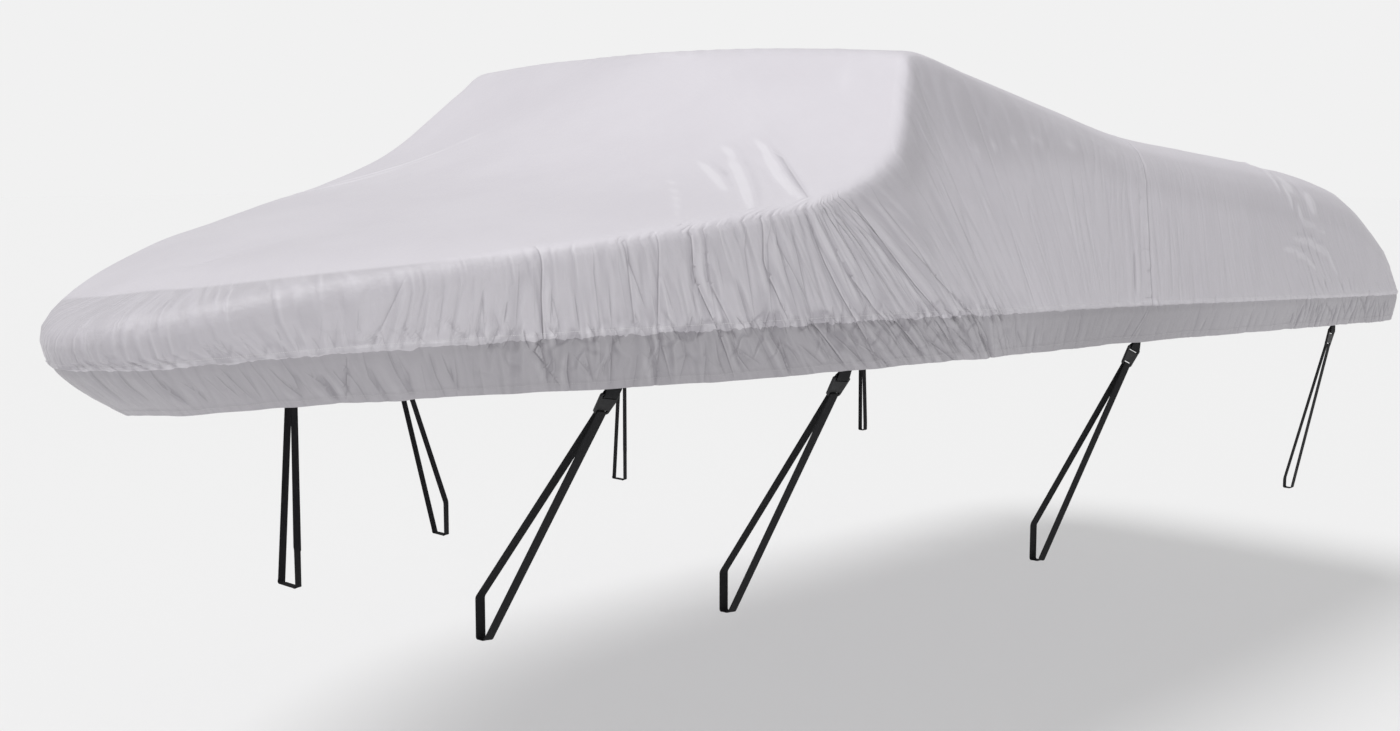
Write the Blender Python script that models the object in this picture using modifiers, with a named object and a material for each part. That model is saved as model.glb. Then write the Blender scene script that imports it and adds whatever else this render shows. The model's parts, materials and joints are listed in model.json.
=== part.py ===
"""A fitted trailer boat cover, hollow, in the shape that it takes over a runabout.

Metres, +Z up. The bow points to -X and the port side is at -Y. The origin is under the top of the
cover, at the middle of the windshield's header, where the boat holds it up. The cloth is cut in two
upper panels, joined by a cross seam, and a skirt that turns in under the gunwale. Eight webbing
straps hang from loops at the hem, each round the place of a bar of the trailer.
"""

import math
from collections import namedtuple

import bmesh
import bpy
import numpy as np
from mathutils import Matrix, Vector

# Driving sizes
SHEET = 0.002  # thickness of the cloth
SEAM_GAP = 0.0004  # between two pieces that are sewn together
COLUMNS_FRONT = 42  # columns of faces on one side of each panel
COLUMNS_REAR = 36
ROWS_SIDE = 4  # rows of faces from the gunwale seam to the ridge
ROWS_ROLL = 2  # over the soft ridge
ROWS_TOP = 4  # from the ridge to the middle line
ROWS_SKIRT = 3
TABLE_STEPS = 1600  # fine steps used to space the columns evenly

# One row for each rib of the port half, from the bow round to the middle of the stern. A rib runs
# from the gunwale seam up over the ridge to the spine, the middle line of the top. seam, ridge and
# spine are (x, half-width, z); roll is how far the ridge is rounded off along both of its legs;
# the hem lies hem_in inboard of the seam and hem_drop under it.
Rib = namedtuple("Rib", "seam_x seam_y seam_z ridge_x ridge_y ridge_z spine_x spine_z roll hem_in hem_drop")
RIBS = (
    Rib(-1.830, 0.000, -0.747, -1.870, 0.000, -0.668, -1.50, -0.540, 0.120, 0.148, 0.116),
    Rib(-1.800, 0.125, -0.742, -1.840, 0.128, -0.652, -1.47, -0.534, 0.110, 0.140, 0.116),
    Rib(-1.720, 0.250, -0.733, -1.752, 0.252, -0.630, -1.42, -0.521, 0.085, 0.118, 0.116),
    Rib(-1.600, 0.380, -0.717, -1.622, 0.374, -0.594, -1.35, -0.505, 0.065, 0.092, 0.116),
    Rib(-1.460, 0.510, -0.702, -1.468, 0.492, -0.557, -1.26, -0.488, 0.055, 0.068, 0.116),
    Rib(-1.260, 0.670, -0.687, -1.256, 0.646, -0.514, -1.13, -0.464, 0.048, 0.050, 0.118),
    Rib(-1.020, 0.825, -0.676, -1.006, 0.800, -0.475, -0.95, -0.431, 0.045, 0.040, 0.122),
    Rib(-0.750, 0.965, -0.670, -0.742, 0.950, -0.428, -0.72, -0.385, 0.045, 0.035, 0.122),
    Rib(-0.500, 1.050, -0.668, -0.495, 1.035, -0.378, -0.50, -0.322, 0.045, 0.035, 0.120),
    Rib(-0.260, 1.090, -0.671, -0.255, 1.020, -0.280, -0.28, -0.205, 0.050, 0.035, 0.118),
    Rib(-0.060, 1.100, -0.677, -0.055, 0.905, -0.095, -0.09, -0.050, 0.050, 0.035, 0.116),
    Rib(0.060, 1.100, -0.683, 0.045, 0.855, -0.031, 0.00, 0.000, 0.045, 0.035, 0.115),
    Rib(0.320, 1.105, -0.690, 0.340, 0.870, -0.082, 0.35, -0.030, 0.090, 0.035, 0.112),
    Rib(0.580, 1.105, -0.698, 0.740, 0.888, -0.161, 0.80, -0.095, 0.130, 0.035, 0.110),
    Rib(0.830, 1.102, -0.707, 1.100, 0.914, -0.234, 1.20, -0.168, 0.160, 0.035, 0.108),
    Rib(1.300, 1.095, -0.726, 1.500, 0.948, -0.275, 1.56, -0.228, 0.170, 0.035, 0.106),
    Rib(1.900, 1.078, -0.751, 1.980, 0.975, -0.322, 1.96, -0.290, 0.170, 0.035, 0.104),
    Rib(2.400, 1.060, -0.772, 2.400, 0.994, -0.398, 2.24, -0.345, 0.150, 0.030, 0.102),
    Rib(2.740, 1.045, -0.784, 2.680, 0.990, -0.535, 2.38, -0.390, 0.140, 0.022, 0.102),
    Rib(2.890, 0.990, -0.788, 2.828, 0.928, -0.570, 2.46, -0.403, 0.140, 0.018, 0.102),
    Rib(2.970, 0.880, -0.790, 2.896, 0.805, -0.578, 2.50, -0.411, 0.140, 0.018, 0.102),
    Rib(3.005, 0.600, -0.792, 2.925, 0.540, -0.576, 2.53, -0.418, 0.150, 0.020, 0.102),
    Rib(3.015, 0.300, -0.793, 2.934, 0.270, -0.573, 2.55, -0.423, 0.150, 0.022, 0.102),
    Rib(3.020, 0.000, -0.793, 2.938, 0.000, -0.573, 2.56, -0.425, 0.150, 0.022, 0.102),
)
CROSS_SEAM_RIB = 14  # the rib that the cross seam follows
PORT = -1
STARBOARD = 1
ROLL_SHARE = 0.8  # most of either leg that the roll may take
ROLL_UP = 0.1  # the roll takes up the rib from 1 - ROLL_UP to 1 + ROLL_UP
CROWN = 0.010  # how far the top bows up between the ridge and the spine
HEM_LEAN = 0.6  # share of the skirt's turn-in that is straight; the rest grows towards the hem

# The main folds. along is the distance from the bow tip round the gunwale seam, at the fold's low
# and high end; up is -1 at the hem, 0 at the seam, 1 at the ridge and 2 at the spine. A fold is
# pressed in by its depth, and a negative depth is a swell.
Fold = namedtuple("Fold", "side low_along high_along low_up high_up width depth")
FOLDS = (
    Fold(PORT, 0.66, 0.64, -0.95, 0.00, 0.030, 0.005),
    Fold(PORT, 1.10, 1.07, -0.95, 1.05, 0.035, 0.007),
    Fold(PORT, 1.35, 1.31, -0.95, 1.10, 0.035, 0.005),
    Fold(PORT, 1.51, 1.38, -0.95, 1.15, 0.040, 0.009),
    Fold(PORT, 1.63, 1.56, -0.80, 1.10, 0.040, 0.007),
    Fold(PORT, 1.92, 1.65, -0.95, 1.10, 0.050, 0.011),
    Fold(PORT, 1.62, 1.98, 0.95, 1.50, 0.050, 0.007),
    Fold(PORT, 2.24, 1.68, -0.90, 1.05, 0.045, 0.009),
    Fold(PORT, 2.22, 1.94, -0.90, 0.75, 0.040, 0.006),
    Fold(PORT, 2.50, 2.49, 0.00, 0.60, 0.050, 0.004),
    Fold(PORT, 4.06, 4.50, 1.15, 0.80, 0.080, 0.008),
    Fold(PORT, 4.10, 4.52, 0.80, 0.10, 0.080, 0.007),
    Fold(STARBOARD, 0.98, 0.94, -0.90, 1.05, 0.035, 0.006),
    Fold(STARBOARD, 1.44, 1.36, -0.95, 1.10, 0.035, 0.008),
    Fold(STARBOARD, 1.80, 1.62, -0.85, 1.10, 0.045, 0.008),
    Fold(STARBOARD, 2.13, 1.74, -0.95, 1.10, 0.045, 0.010),
    Fold(STARBOARD, 2.36, 1.86, -0.90, 0.90, 0.045, 0.007),
    Fold(STARBOARD, 3.90, 4.34, 1.10, 0.30, 0.080, 0.008),
    Fold(STARBOARD, 2.28, 2.28, 0.70, 1.60, 0.120, -0.014),
)
SEAM_HOLD = 0.2  # a fold grows from nothing over this much of up, on both sides of the seam

# The straps. hem_x is where the loop is sewn; each strap passes round a bar of the trailer. Its
# outer face is at bar_y from the middle, where the strap is at bar_x; bar_slant is its outward slope.
Strap = namedtuple("Strap", "side number hem_x bar_x bar_y bar_wide bar_high bar_slant")
STRAPS = (
    Strap(PORT, 1, -0.972, -0.995, 0.385, 0.025, 0.100, 0.30),
    Strap(PORT, 2, -0.443, -0.410, 0.635, 0.025, 0.100, 0.30),
    Strap(PORT, 3, 0.832, 0.610, 0.900, 0.025, 0.100, 0.30),
    Strap(PORT, 4, 2.250, 2.150, 0.950, 0.025, 0.030, 0.00),
    Strap(STARBOARD, 1, -0.650, -1.030, 0.450, 0.080, 0.100, 0.30),
    Strap(STARBOARD, 2, -0.250, -0.360, 0.650, 0.055, 0.100, 0.30),
    Strap(STARBOARD, 3, 0.840, 0.640, 0.905, 0.055, 0.100, 0.30),
    Strap(STARBOARD, 4, 2.230, 2.130, 0.950, 0.025, 0.030, 0.00),
)
BAR_BOTTOM = -1.440
STRAP_WIDTH = 0.025
STRAP_THICK = 0.002
STRAP_BEND = 0.006  # rounding where a strap turns round the bar
STRAP_RUN_POINTS = 6  # points along each long strand
STRAP_SPARE = 0.0006  # between the strap and the buckle's faces
STRAP_END_GAP = 0.0014  # from the middle of the buckle's slot to each end of the strap
MITRE_LEAST = 0.6  # keeps a ribbon's corner from growing long where it turns sharply
LOOP_WIDTH = 0.035
LOOP_THICK = 0.0012
LOOP_TAB = 0.024  # sewn length inside the hem
LOOP_DROP = 0.025  # from the hem to the buckle's top bar
LOOP_SLACK = 0.0019  # room round the bar
LOOP_INSET = 0.0028  # from the hem's inner face to the loop
LOOP_GAP = 0.0004  # between the loop's two legs
LOOP_HANG = 0.001  # how far the legs run below the hem before they part
LOOP_TURN_STEPS = 6
BUCKLE_TOP_WIDTH = 0.049
BUCKLE_FOOT_WIDTH = 0.038
BUCKLE_HEIGHT = 0.056
BUCKLE_THICK = 0.007
BUCKLE_BAR = 0.004
BUCKLE_SLOT = 0.0075
BUCKLE_CORNER = 0.006
SLOT_CORNER = 0.002
SLOT_SPARE = 0.0015  # between the webbing's edge and the slot's end
CORNER_STEPS = 3

CLOTH_COLOUR = (0.62, 0.60, 0.63, 1.0)
WEBBING_COLOUR = (0.012, 0.012, 0.013, 1.0)
BUCKLE_COLOUR = (0.018, 0.018, 0.020, 1.0)
UP = Vector((0, 0, 1))


def clear_scene():
    for item in list(bpy.data.objects):
        bpy.data.objects.remove(item)


def make_material(name, colour, roughness):
    material = bpy.data.materials.new(name)
    material.use_nodes = True
    shader = material.node_tree.nodes["Principled BSDF"]
    shader.inputs["Base Color"].default_value = colour
    shader.inputs["Roughness"].default_value = roughness
    shader.inputs["Metallic"].default_value = 0.0
    return material


def smooth_rows(table, places):
    """Rows of a table at places between its rows, on a smooth curve through them."""
    table = np.asarray(table, float)
    last = len(table) - 1
    places = np.clip(np.asarray(places, float), 0, last)
    low = np.minimum(places.astype(int), last - 1)
    part = (places - low)[:, None]

    def slope(row):
        before, after = np.clip(row - 1, 0, last), np.clip(row + 1, 0, last)
        return (table[after] - table[before]) / (after - before)[:, None]

    square, cube = part**2, part**3
    return (
        table[low] * (2 * cube - 3 * square + 1)
        + slope(low) * (cube - 2 * square + part)
        + table[low + 1] * (3 * square - 2 * cube)
        + slope(low + 1) * (cube - square)
    )


def seam_lengths():
    """Rib places in fine steps, and the distance round the gunwale seam from the bow to each."""
    places = np.linspace(0, len(RIBS) - 1, TABLE_STEPS)
    points = smooth_rows(RIBS, places)[:, :3]
    steps = np.linalg.norm(np.diff(points, axis=0), axis=1)
    return places, np.concatenate(([0], np.cumsum(steps)))


def even_places(first_rib, last_rib, columns):
    """Rib places whose seam points are evenly spaced, and their distance from the bow."""
    places, lengths = seam_lengths()
    ends = np.interp([first_rib, last_rib], places, lengths)
    along = np.linspace(*ends, columns + 1)
    return np.interp(along, lengths, places), along


def skirt_places():
    """The rib places of every column of both panels, so that the skirt meets them edge to edge."""
    front, front_along = even_places(0, CROSS_SEAM_RIB, COLUMNS_FRONT)
    rear, rear_along = even_places(CROSS_SEAM_RIB, len(RIBS) - 1, COLUMNS_REAR)
    return np.concatenate((front, rear[1:])), np.concatenate((front_along, rear_along[1:]))


def outward(seam):
    """The level direction pointing away from the boat at each seam point of the port half."""
    run = np.gradient(seam, axis=0)
    away = np.stack([run[:, 1], -run[:, 0], np.zeros(len(run))], axis=1)
    away[np.abs(seam[:, 1]) < 1e-9, 1] = 0
    return away / np.linalg.norm(away, axis=1)[:, None]


def rib_lines(places):
    """Seam, ridge and spine points of the port half at these rib places, and the other columns."""
    rows = smooth_rows(RIBS, places)
    seam, ridge = rows[:, 0:3].copy(), rows[:, 3:6].copy()
    spine = np.stack([rows[:, 6], np.zeros(len(rows)), rows[:, 7]], axis=1)
    on_middle = (places < 1e-6) | (places > len(RIBS) - 1 - 1e-6)
    for line in (seam, ridge):
        line[:, 1] = np.where(on_middle, 0, line[:, 1]) * PORT
    return seam, ridge, spine, rows[:, 8:9], rows[:, 9:10], rows[:, 10:11]


def panel_grid(places):
    """Points of the port half's upper cloth, and how far up each row is, 0 to 2."""
    seam, ridge, spine, roll, _, _ = rib_lines(places)
    side_leg = np.linalg.norm(ridge - seam, axis=1)[:, None]
    top_leg = np.linalg.norm(spine - ridge, axis=1)[:, None]
    low_end = ridge + (seam - ridge) * np.minimum(roll / side_leg, ROLL_SHARE)
    high_end = ridge + (spine - ridge) * np.minimum(roll / top_leg, ROLL_SHARE)
    rows, ups = [], []
    for step in range(ROWS_SIDE):
        part = step / ROWS_SIDE
        rows.append(seam + (low_end - seam) * part)
        ups.append((1 - ROLL_UP) * part)
    for step in range(ROWS_ROLL):
        part = step / ROWS_ROLL
        rows.append(low_end * (1 - part) ** 2 + 2 * ridge * part * (1 - part) + high_end * part**2)
        ups.append(1 - ROLL_UP + 2 * ROLL_UP * part)
    for step in range(ROWS_TOP + 1):
        part = step / ROWS_TOP
        bow_up = np.array([0, 0, CROWN * math.sin(math.pi * part)])
        rows.append(high_end + (spine - high_end) * part + bow_up)
        ups.append(1 + ROLL_UP + (1 - ROLL_UP) * part)
    return np.stack(rows, axis=1), np.array(ups)


def skirt_grid(places):
    """Points of the port half's skirt, from just under the gunwale seam down to the hem."""
    seam, _, _, _, hem_in, hem_drop = rib_lines(places)
    away = outward(seam)
    top = seam - np.array([0, 0, SEAM_GAP])
    rows, ups = [], []
    for step in range(ROWS_SKIRT + 1):
        part = step / ROWS_SKIRT
        turn_in = hem_in * (HEM_LEAN * part + (1 - HEM_LEAN) * part**2)
        rows.append(top - away * turn_in - np.array([0, 0, 1]) * hem_drop * part)
        ups.append(-part)
    return np.stack(rows, axis=1), np.array(ups)


def grid_normals(grid):
    across = np.gradient(grid, axis=0)
    upward = np.gradient(grid, axis=1)
    normals = np.cross(across, upward)
    return normals / np.maximum(np.linalg.norm(normals, axis=2), 1e-12)[:, :, None]


def press_folds(grid, side, along, ups):
    """Presses the main folds of one side into a grid; the gunwale seam and the hem stay in place."""
    depth = np.zeros(grid.shape[:2])
    held = np.clip(np.abs(ups) / SEAM_HOLD, 0, 1)
    for fold in FOLDS:
        if fold.side != side:
            continue
        part = np.clip((ups - fold.low_up) / (fold.high_up - fold.low_up), 0, 1)
        middle = fold.low_along + (fold.high_along - fold.low_along) * part
        strength = held * (1 - np.abs(2 * part - 1) ** 3)
        away = (along[:, None] - middle[None, :]) / fold.width
        depth += fold.depth * strength[None, :] * np.exp(-(away**2))
    outwards = grid_normals(grid) * (1 if ups[1] > ups[0] else -1)
    return grid - outwards * depth[:, :, None]


def cloth_mesh(name, halves, rows_go_up):
    """An open surface, facing outwards, from a port and a starboard grid that meet in the middle."""
    mesh = bpy.data.meshes.new(name)
    shell = bmesh.new()
    for side, grid in halves:
        grid = grid.copy()
        grid[:, :, 1] *= side * PORT
        corners = [[shell.verts.new(point) for point in column] for column in grid]
        for left, right in zip(corners[:-1], corners[1:]):
            for row in range(len(left) - 1):
                face = [left[row], right[row], right[row + 1], left[row + 1]]
                shell.faces.new(face if (side == PORT) == rows_go_up else face[::-1])
    middle = [corner for corner in shell.verts if abs(corner.co.y) < 1e-5]
    for corner in middle:
        corner.co.y = 0
    bmesh.ops.remove_doubles(shell, verts=middle, dist=1e-5)
    shell.to_mesh(mesh)
    shell.free()
    return mesh


def add_cloth(name, mesh, material, collection):
    mesh.materials.append(material)
    cloth = bpy.data.objects.new(name, mesh)
    collection.objects.link(cloth)
    thick = cloth.modifiers.new("thickness", "SOLIDIFY")
    thick.thickness = SHEET
    thick.offset = 1
    thick.use_even_offset = True
    mesh.shade_smooth()
    return cloth


def build_panel(name, first_rib, last_rib, columns, material, collection):
    places, along = even_places(first_rib, last_rib, columns)
    grid, ups = panel_grid(places)
    seam_end = 0 if first_rib == CROSS_SEAM_RIB else -1
    grid[seam_end, :, 0] += SEAM_GAP / 2 if seam_end == 0 else -SEAM_GAP / 2
    halves = [(side, press_folds(grid, side, along, ups)) for side in (PORT, STARBOARD)]
    return add_cloth(name, cloth_mesh(name, halves, rows_go_up=True), material, collection)


def build_skirt(name, material, collection):
    places, along = skirt_places()
    grid, ups = skirt_grid(places)
    halves = [(side, press_folds(grid, side, along, ups)) for side in (PORT, STARBOARD)]
    return add_cloth(name, cloth_mesh(name, halves, rows_go_up=False), material, collection)


def hem_place(side, hem_x):
    """The hem's point at this x, the level direction along it, aft, and the one outward."""
    grid, _ = skirt_grid(skirt_places()[0])
    hem, above = grid[:, -1], grid[:, -2]
    column = int(np.argmax(hem[:, 0] > hem_x))
    part = (hem_x - hem[column - 1, 0]) / (hem[column, 0] - hem[column - 1, 0])
    point = hem[column - 1] + (hem[column] - hem[column - 1]) * part
    higher = above[column - 1] + (above[column] - above[column - 1]) * part
    aft = Vector(hem[column] - hem[column - 1])
    rise = Vector(higher - point).normalized()
    point = Vector(point)
    if side == STARBOARD:
        point.y, aft.y, rise.y = -point.y, -aft.y, -rise.y
    aft.z = 0
    aft.normalize()
    away = aft.cross(UP) * side * PORT
    return point, aft, away, rise


def ribbon(name, path, widths, width, thick, material, collection):
    """Flat webbing: a thin box section swept along a path, its width along the given directions."""
    mesh = bpy.data.meshes.new(name)
    body = bmesh.new()
    rings = []
    for index, point in enumerate(path):
        before = path[max(index - 1, 0)]
        after = path[min(index + 1, len(path) - 1)]
        run = (after - before).normalized()
        broad = widths[index] - run * widths[index].dot(run)
        broad = broad.normalized() * width / 2
        turn = 1.0
        if 0 < index < len(path) - 1:
            first, second = (point - before).normalized(), (after - point).normalized()
            turn = max(math.sqrt(max((1 + first.dot(second)) / 2, 0)), MITRE_LEAST)
        flat = run.cross(broad).normalized() * thick / 2 / turn
        corners = (broad + flat, broad - flat, -broad - flat, -broad + flat)
        rings.append([body.verts.new(point + corner) for corner in corners])
    for first, second in zip(rings[:-1], rings[1:]):
        for edge in range(4):
            after = (edge + 1) % 4
            near, next_near, next_far, far = first[edge], first[after], second[after], second[edge]
            # both broad faces are split along the same diagonal, so a twist keeps its thickness
            if edge < 2:
                triangles = ((near, next_near, far), (next_near, next_far, far))
            else:
                triangles = ((near, next_near, next_far), (near, next_far, far))
            for triangle in triangles:
                body.faces.new(triangle)
    body.faces.new(rings[0][::-1])
    body.faces.new(rings[-1])
    bmesh.ops.recalc_face_normals(body, faces=body.faces)
    body.to_mesh(mesh)
    body.free()
    mesh.materials.append(material)
    piece = bpy.data.objects.new(name, mesh)
    collection.objects.link(piece)
    return piece


def rounded_corner(before, corner, after, radius, steps=3):
    """Points that turn a path's corner in a short curve."""
    start = corner + (before - corner).normalized() * radius
    end = corner + (after - corner).normalized() * radius
    points = []
    for step in range(steps + 1):
        part = step / steps
        points.append(start * (1 - part) ** 2 + corner * 2 * part * (1 - part) + end * part**2)
    return points


def straight(start, end, count):
    """Points from start towards end, without end itself."""
    return [start.lerp(end, step / count) for step in range(count)]


def bar_corners(strap):
    """The bar's section where the strap passes: outer low, inner low and inner high corners."""
    outer_low = Vector((strap.bar_x, strap.side * strap.bar_y, BAR_BOTTOM))
    inner_low = outer_low + Vector((0, -strap.side * strap.bar_wide, 0))
    inner_high = inner_low + UP * strap.bar_high
    along_bar = Vector((1, strap.side * strap.bar_slant, 0)).normalized()
    return outer_low, inner_low, inner_high, along_bar


def strap_frame(strap):
    """Where a strap hangs, and the directions of its buckle: across, out of its face and down."""
    point, _, away, _ = hem_place(strap.side, strap.hem_x)
    outer_low, _, inner_high, along_bar = bar_corners(strap)
    down = ((outer_low + inner_high) / 2 - point).normalized()
    across = (along_bar - down * along_bar.dot(down)).normalized()
    face = down.cross(across)
    if face.dot(away) < 0:
        face.negate()
    return point, across, face, down


def loop_feet(strap):
    """Where the loop's outer and inner legs pass the hem."""
    point, aft, away, rise = hem_place(strap.side, strap.hem_x)
    in_wall = aft.cross(rise).normalized()
    if in_wall.dot(away) < 0:
        in_wall.negate()
    outer_skin = point - in_wall * (LOOP_INSET + LOOP_THICK / 2)
    return outer_skin, outer_skin - in_wall * (LOOP_THICK + LOOP_GAP)


def build_loop(strap, label, material, collection):
    """A short webbing loop: up inside the hem, down round the buckle's top bar and up again."""
    _, across, face, down = strap_frame(strap)
    _, aft, _, rise = hem_place(strap.side, strap.hem_x)
    outer_skin, inner_skin = loop_feet(strap)
    turn_radius = BUCKLE_THICK / 2 + LOOP_SLACK + LOOP_THICK / 2
    centre = (outer_skin + inner_skin) / 2 + down * LOOP_DROP
    outer_foot, inner_foot = outer_skin + down * LOOP_HANG, inner_skin + down * LOOP_HANG
    outer_bar = centre + face * turn_radius - down * BUCKLE_BAR
    inner_bar = centre - face * turn_radius - down * BUCKLE_BAR
    halfway = aft.lerp(across, 0.5).normalized()
    path = [outer_skin + rise * LOOP_TAB, outer_skin + rise * LOOP_TAB / 2]
    path += [outer_foot, outer_foot.lerp(outer_bar, 0.5), outer_bar]
    for step in range(LOOP_TURN_STEPS + 1):
        angle = math.pi * step / LOOP_TURN_STEPS
        path.append(centre + (face * math.cos(angle) + down * math.sin(angle)) * turn_radius)
    path += [inner_bar, inner_bar.lerp(inner_foot, 0.5), inner_foot]
    path += [inner_skin + rise * LOOP_TAB / 2, inner_skin + rise * LOOP_TAB]
    widths = [aft] * 3 + [halfway] + [across] * (LOOP_TURN_STEPS + 3) + [halfway] + [aft] * 3
    return ribbon(f"loop_{label}", path, widths, LOOP_WIDTH, LOOP_THICK, material, collection)


def buckle_top(strap):
    """The middle of the buckle's top bar, which hangs in the loop's turn."""
    outer_skin, inner_skin = loop_feet(strap)
    down = strap_frame(strap)[3]
    return (outer_skin + inner_skin) / 2 + down * (LOOP_DROP - BUCKLE_BAR / 4)


def buckle_outline(top_width, foot_width, top, foot, corner):
    """Points of a four-sided outline with rounded corners, its height measured downwards."""
    points = []
    for middle_x, middle_y, start in (
        (foot_width / 2 - corner, foot - corner, 0),
        (corner - foot_width / 2, foot - corner, 90),
        (corner - top_width / 2, top + corner, 180),
        (top_width / 2 - corner, top + corner, 270),
    ):
        for step in range(CORNER_STEPS + 1):
            angle = math.radians(start + 90 * step / CORNER_STEPS)
            points.append((middle_x + corner * math.cos(angle), middle_y + corner * math.sin(angle)))
    return points


def build_buckle(strap, label, material, collection):
    """A flat buckle with a slot for the loop at its top and one for the strap at its foot."""
    _, across, face, down = strap_frame(strap)
    outline = bpy.data.curves.new("buckle outline", "CURVE")
    outline.dimensions = "2D"
    outline.fill_mode = "BOTH"
    outline.extrude = BUCKLE_THICK / 2
    top = -BUCKLE_BAR / 2
    foot = top + BUCKLE_HEIGHT
    loop_slot = BUCKLE_BAR / 2
    strap_slot = foot - BUCKLE_BAR - BUCKLE_SLOT
    loop_room, strap_room = LOOP_WIDTH + 2 * SLOT_SPARE, STRAP_WIDTH + 2 * SLOT_SPARE
    shapes = (
        buckle_outline(BUCKLE_TOP_WIDTH, BUCKLE_FOOT_WIDTH, top, foot, BUCKLE_CORNER),
        buckle_outline(loop_room, loop_room, loop_slot, loop_slot + BUCKLE_SLOT, SLOT_CORNER),
        buckle_outline(strap_room, strap_room, strap_slot, strap_slot + BUCKLE_SLOT, SLOT_CORNER),
    )
    for points in shapes:
        spline = outline.splines.new("POLY")
        spline.points.add(len(points) - 1)
        for place, (x, y) in zip(spline.points, points):
            place.co = (x, y, 0, 1)
        spline.use_cyclic_u = True
    guide = bpy.data.objects.new("buckle guide", outline)
    collection.objects.link(guide)
    bpy.context.view_layer.update()
    mesh = bpy.data.meshes.new_from_object(guide.evaluated_get(bpy.context.evaluated_depsgraph_get()))
    bpy.data.objects.remove(guide)
    solid = bmesh.new()
    solid.from_mesh(mesh)
    bmesh.ops.remove_doubles(solid, verts=solid.verts, dist=1e-6)
    bmesh.ops.recalc_face_normals(solid, faces=solid.faces)
    solid.to_mesh(mesh)
    solid.free()
    mesh.materials.clear()
    mesh.materials.append(material)
    buckle = bpy.data.objects.new(f"buckle_{label}", mesh)
    collection.objects.link(buckle)
    turn = Matrix((across, down, across.cross(down))).transposed().to_4x4()
    buckle.matrix_world = Matrix.Translation(buckle_top(strap)) @ turn
    return buckle


def strap_path(strap):
    """The strap's middle line: out of the buckle, down outside the bar, under it and up inside."""
    _, across, face, down = strap_frame(strap)
    outer_low, inner_low, inner_high, along_bar = bar_corners(strap)
    buckle_foot = buckle_top(strap) + down * (BUCKLE_HEIGHT - BUCKLE_BAR)
    slot = buckle_foot - down * (BUCKLE_BAR / 2 + BUCKLE_SLOT / 2)
    clear = face * (BUCKLE_THICK / 2 + STRAP_SPARE + STRAP_THICK / 2)
    outer_top, inner_top = buckle_foot + clear, buckle_foot - clear
    skin = STRAP_THICK / 2
    aside = Vector((0, strap.side * skin, 0))
    outer_low = outer_low + aside - UP * skin
    inner_low = inner_low - aside - UP * skin
    inner_high = inner_high - aside + UP * skin
    outer_foot = rounded_corner(outer_top, outer_low, inner_low, STRAP_BEND)
    inner_foot = rounded_corner(outer_low, inner_low, inner_high, STRAP_BEND)
    inner_edge = rounded_corner(inner_low, inner_high, inner_top, STRAP_BEND)
    path = [slot + face * STRAP_END_GAP, slot + clear]
    path += straight(outer_top, outer_foot[0], STRAP_RUN_POINTS) + outer_foot
    path += straight(outer_foot[-1], inner_foot[0], 2)[1:] + inner_foot
    path += straight(inner_foot[-1], inner_edge[0], 3)[1:] + inner_edge
    path += straight(inner_edge[-1], inner_top, STRAP_RUN_POINTS)[1:]
    path += [inner_top, slot - clear, slot - face * STRAP_END_GAP]
    top, bottom = outer_top.z, outer_low.z
    widths = []
    for point in path:
        part = min(max((top - point.z) / (top - bottom), 0), 1)
        widths.append(across.lerp(along_bar, part).normalized())
    return path, widths


def build_strap(strap, label, material, collection):
    path, widths = strap_path(strap)
    return ribbon(f"strap_{label}", path, widths, STRAP_WIDTH, STRAP_THICK, material, collection)


def build_cover():
    clear_scene()
    collection = bpy.data.collections.new("boat_cover")
    bpy.context.scene.collection.children.link(collection)
    cloth = make_material("polyester cloth", CLOTH_COLOUR, 0.62)
    webbing = make_material("black webbing", WEBBING_COLOUR, 0.75)
    plastic = make_material("black plastic", BUCKLE_COLOUR, 0.42)
    last_rib = len(RIBS) - 1
    build_panel("front_panel", 0, CROSS_SEAM_RIB, COLUMNS_FRONT, cloth, collection)
    build_panel("rear_panel", CROSS_SEAM_RIB, last_rib, COLUMNS_REAR, cloth, collection)
    build_skirt("skirt", cloth, collection)
    for strap in STRAPS:
        label = f"{'port' if strap.side == PORT else 'starboard'}_{strap.number}"
        build_loop(strap, label, webbing, collection)
        build_buckle(strap, label, plastic, collection)
        build_strap(strap, label, webbing, collection)


build_cover()
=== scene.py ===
# Boat cover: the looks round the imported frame. Metres, bow to -X, port side to -Y, +Z up.
import json
import math

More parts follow.
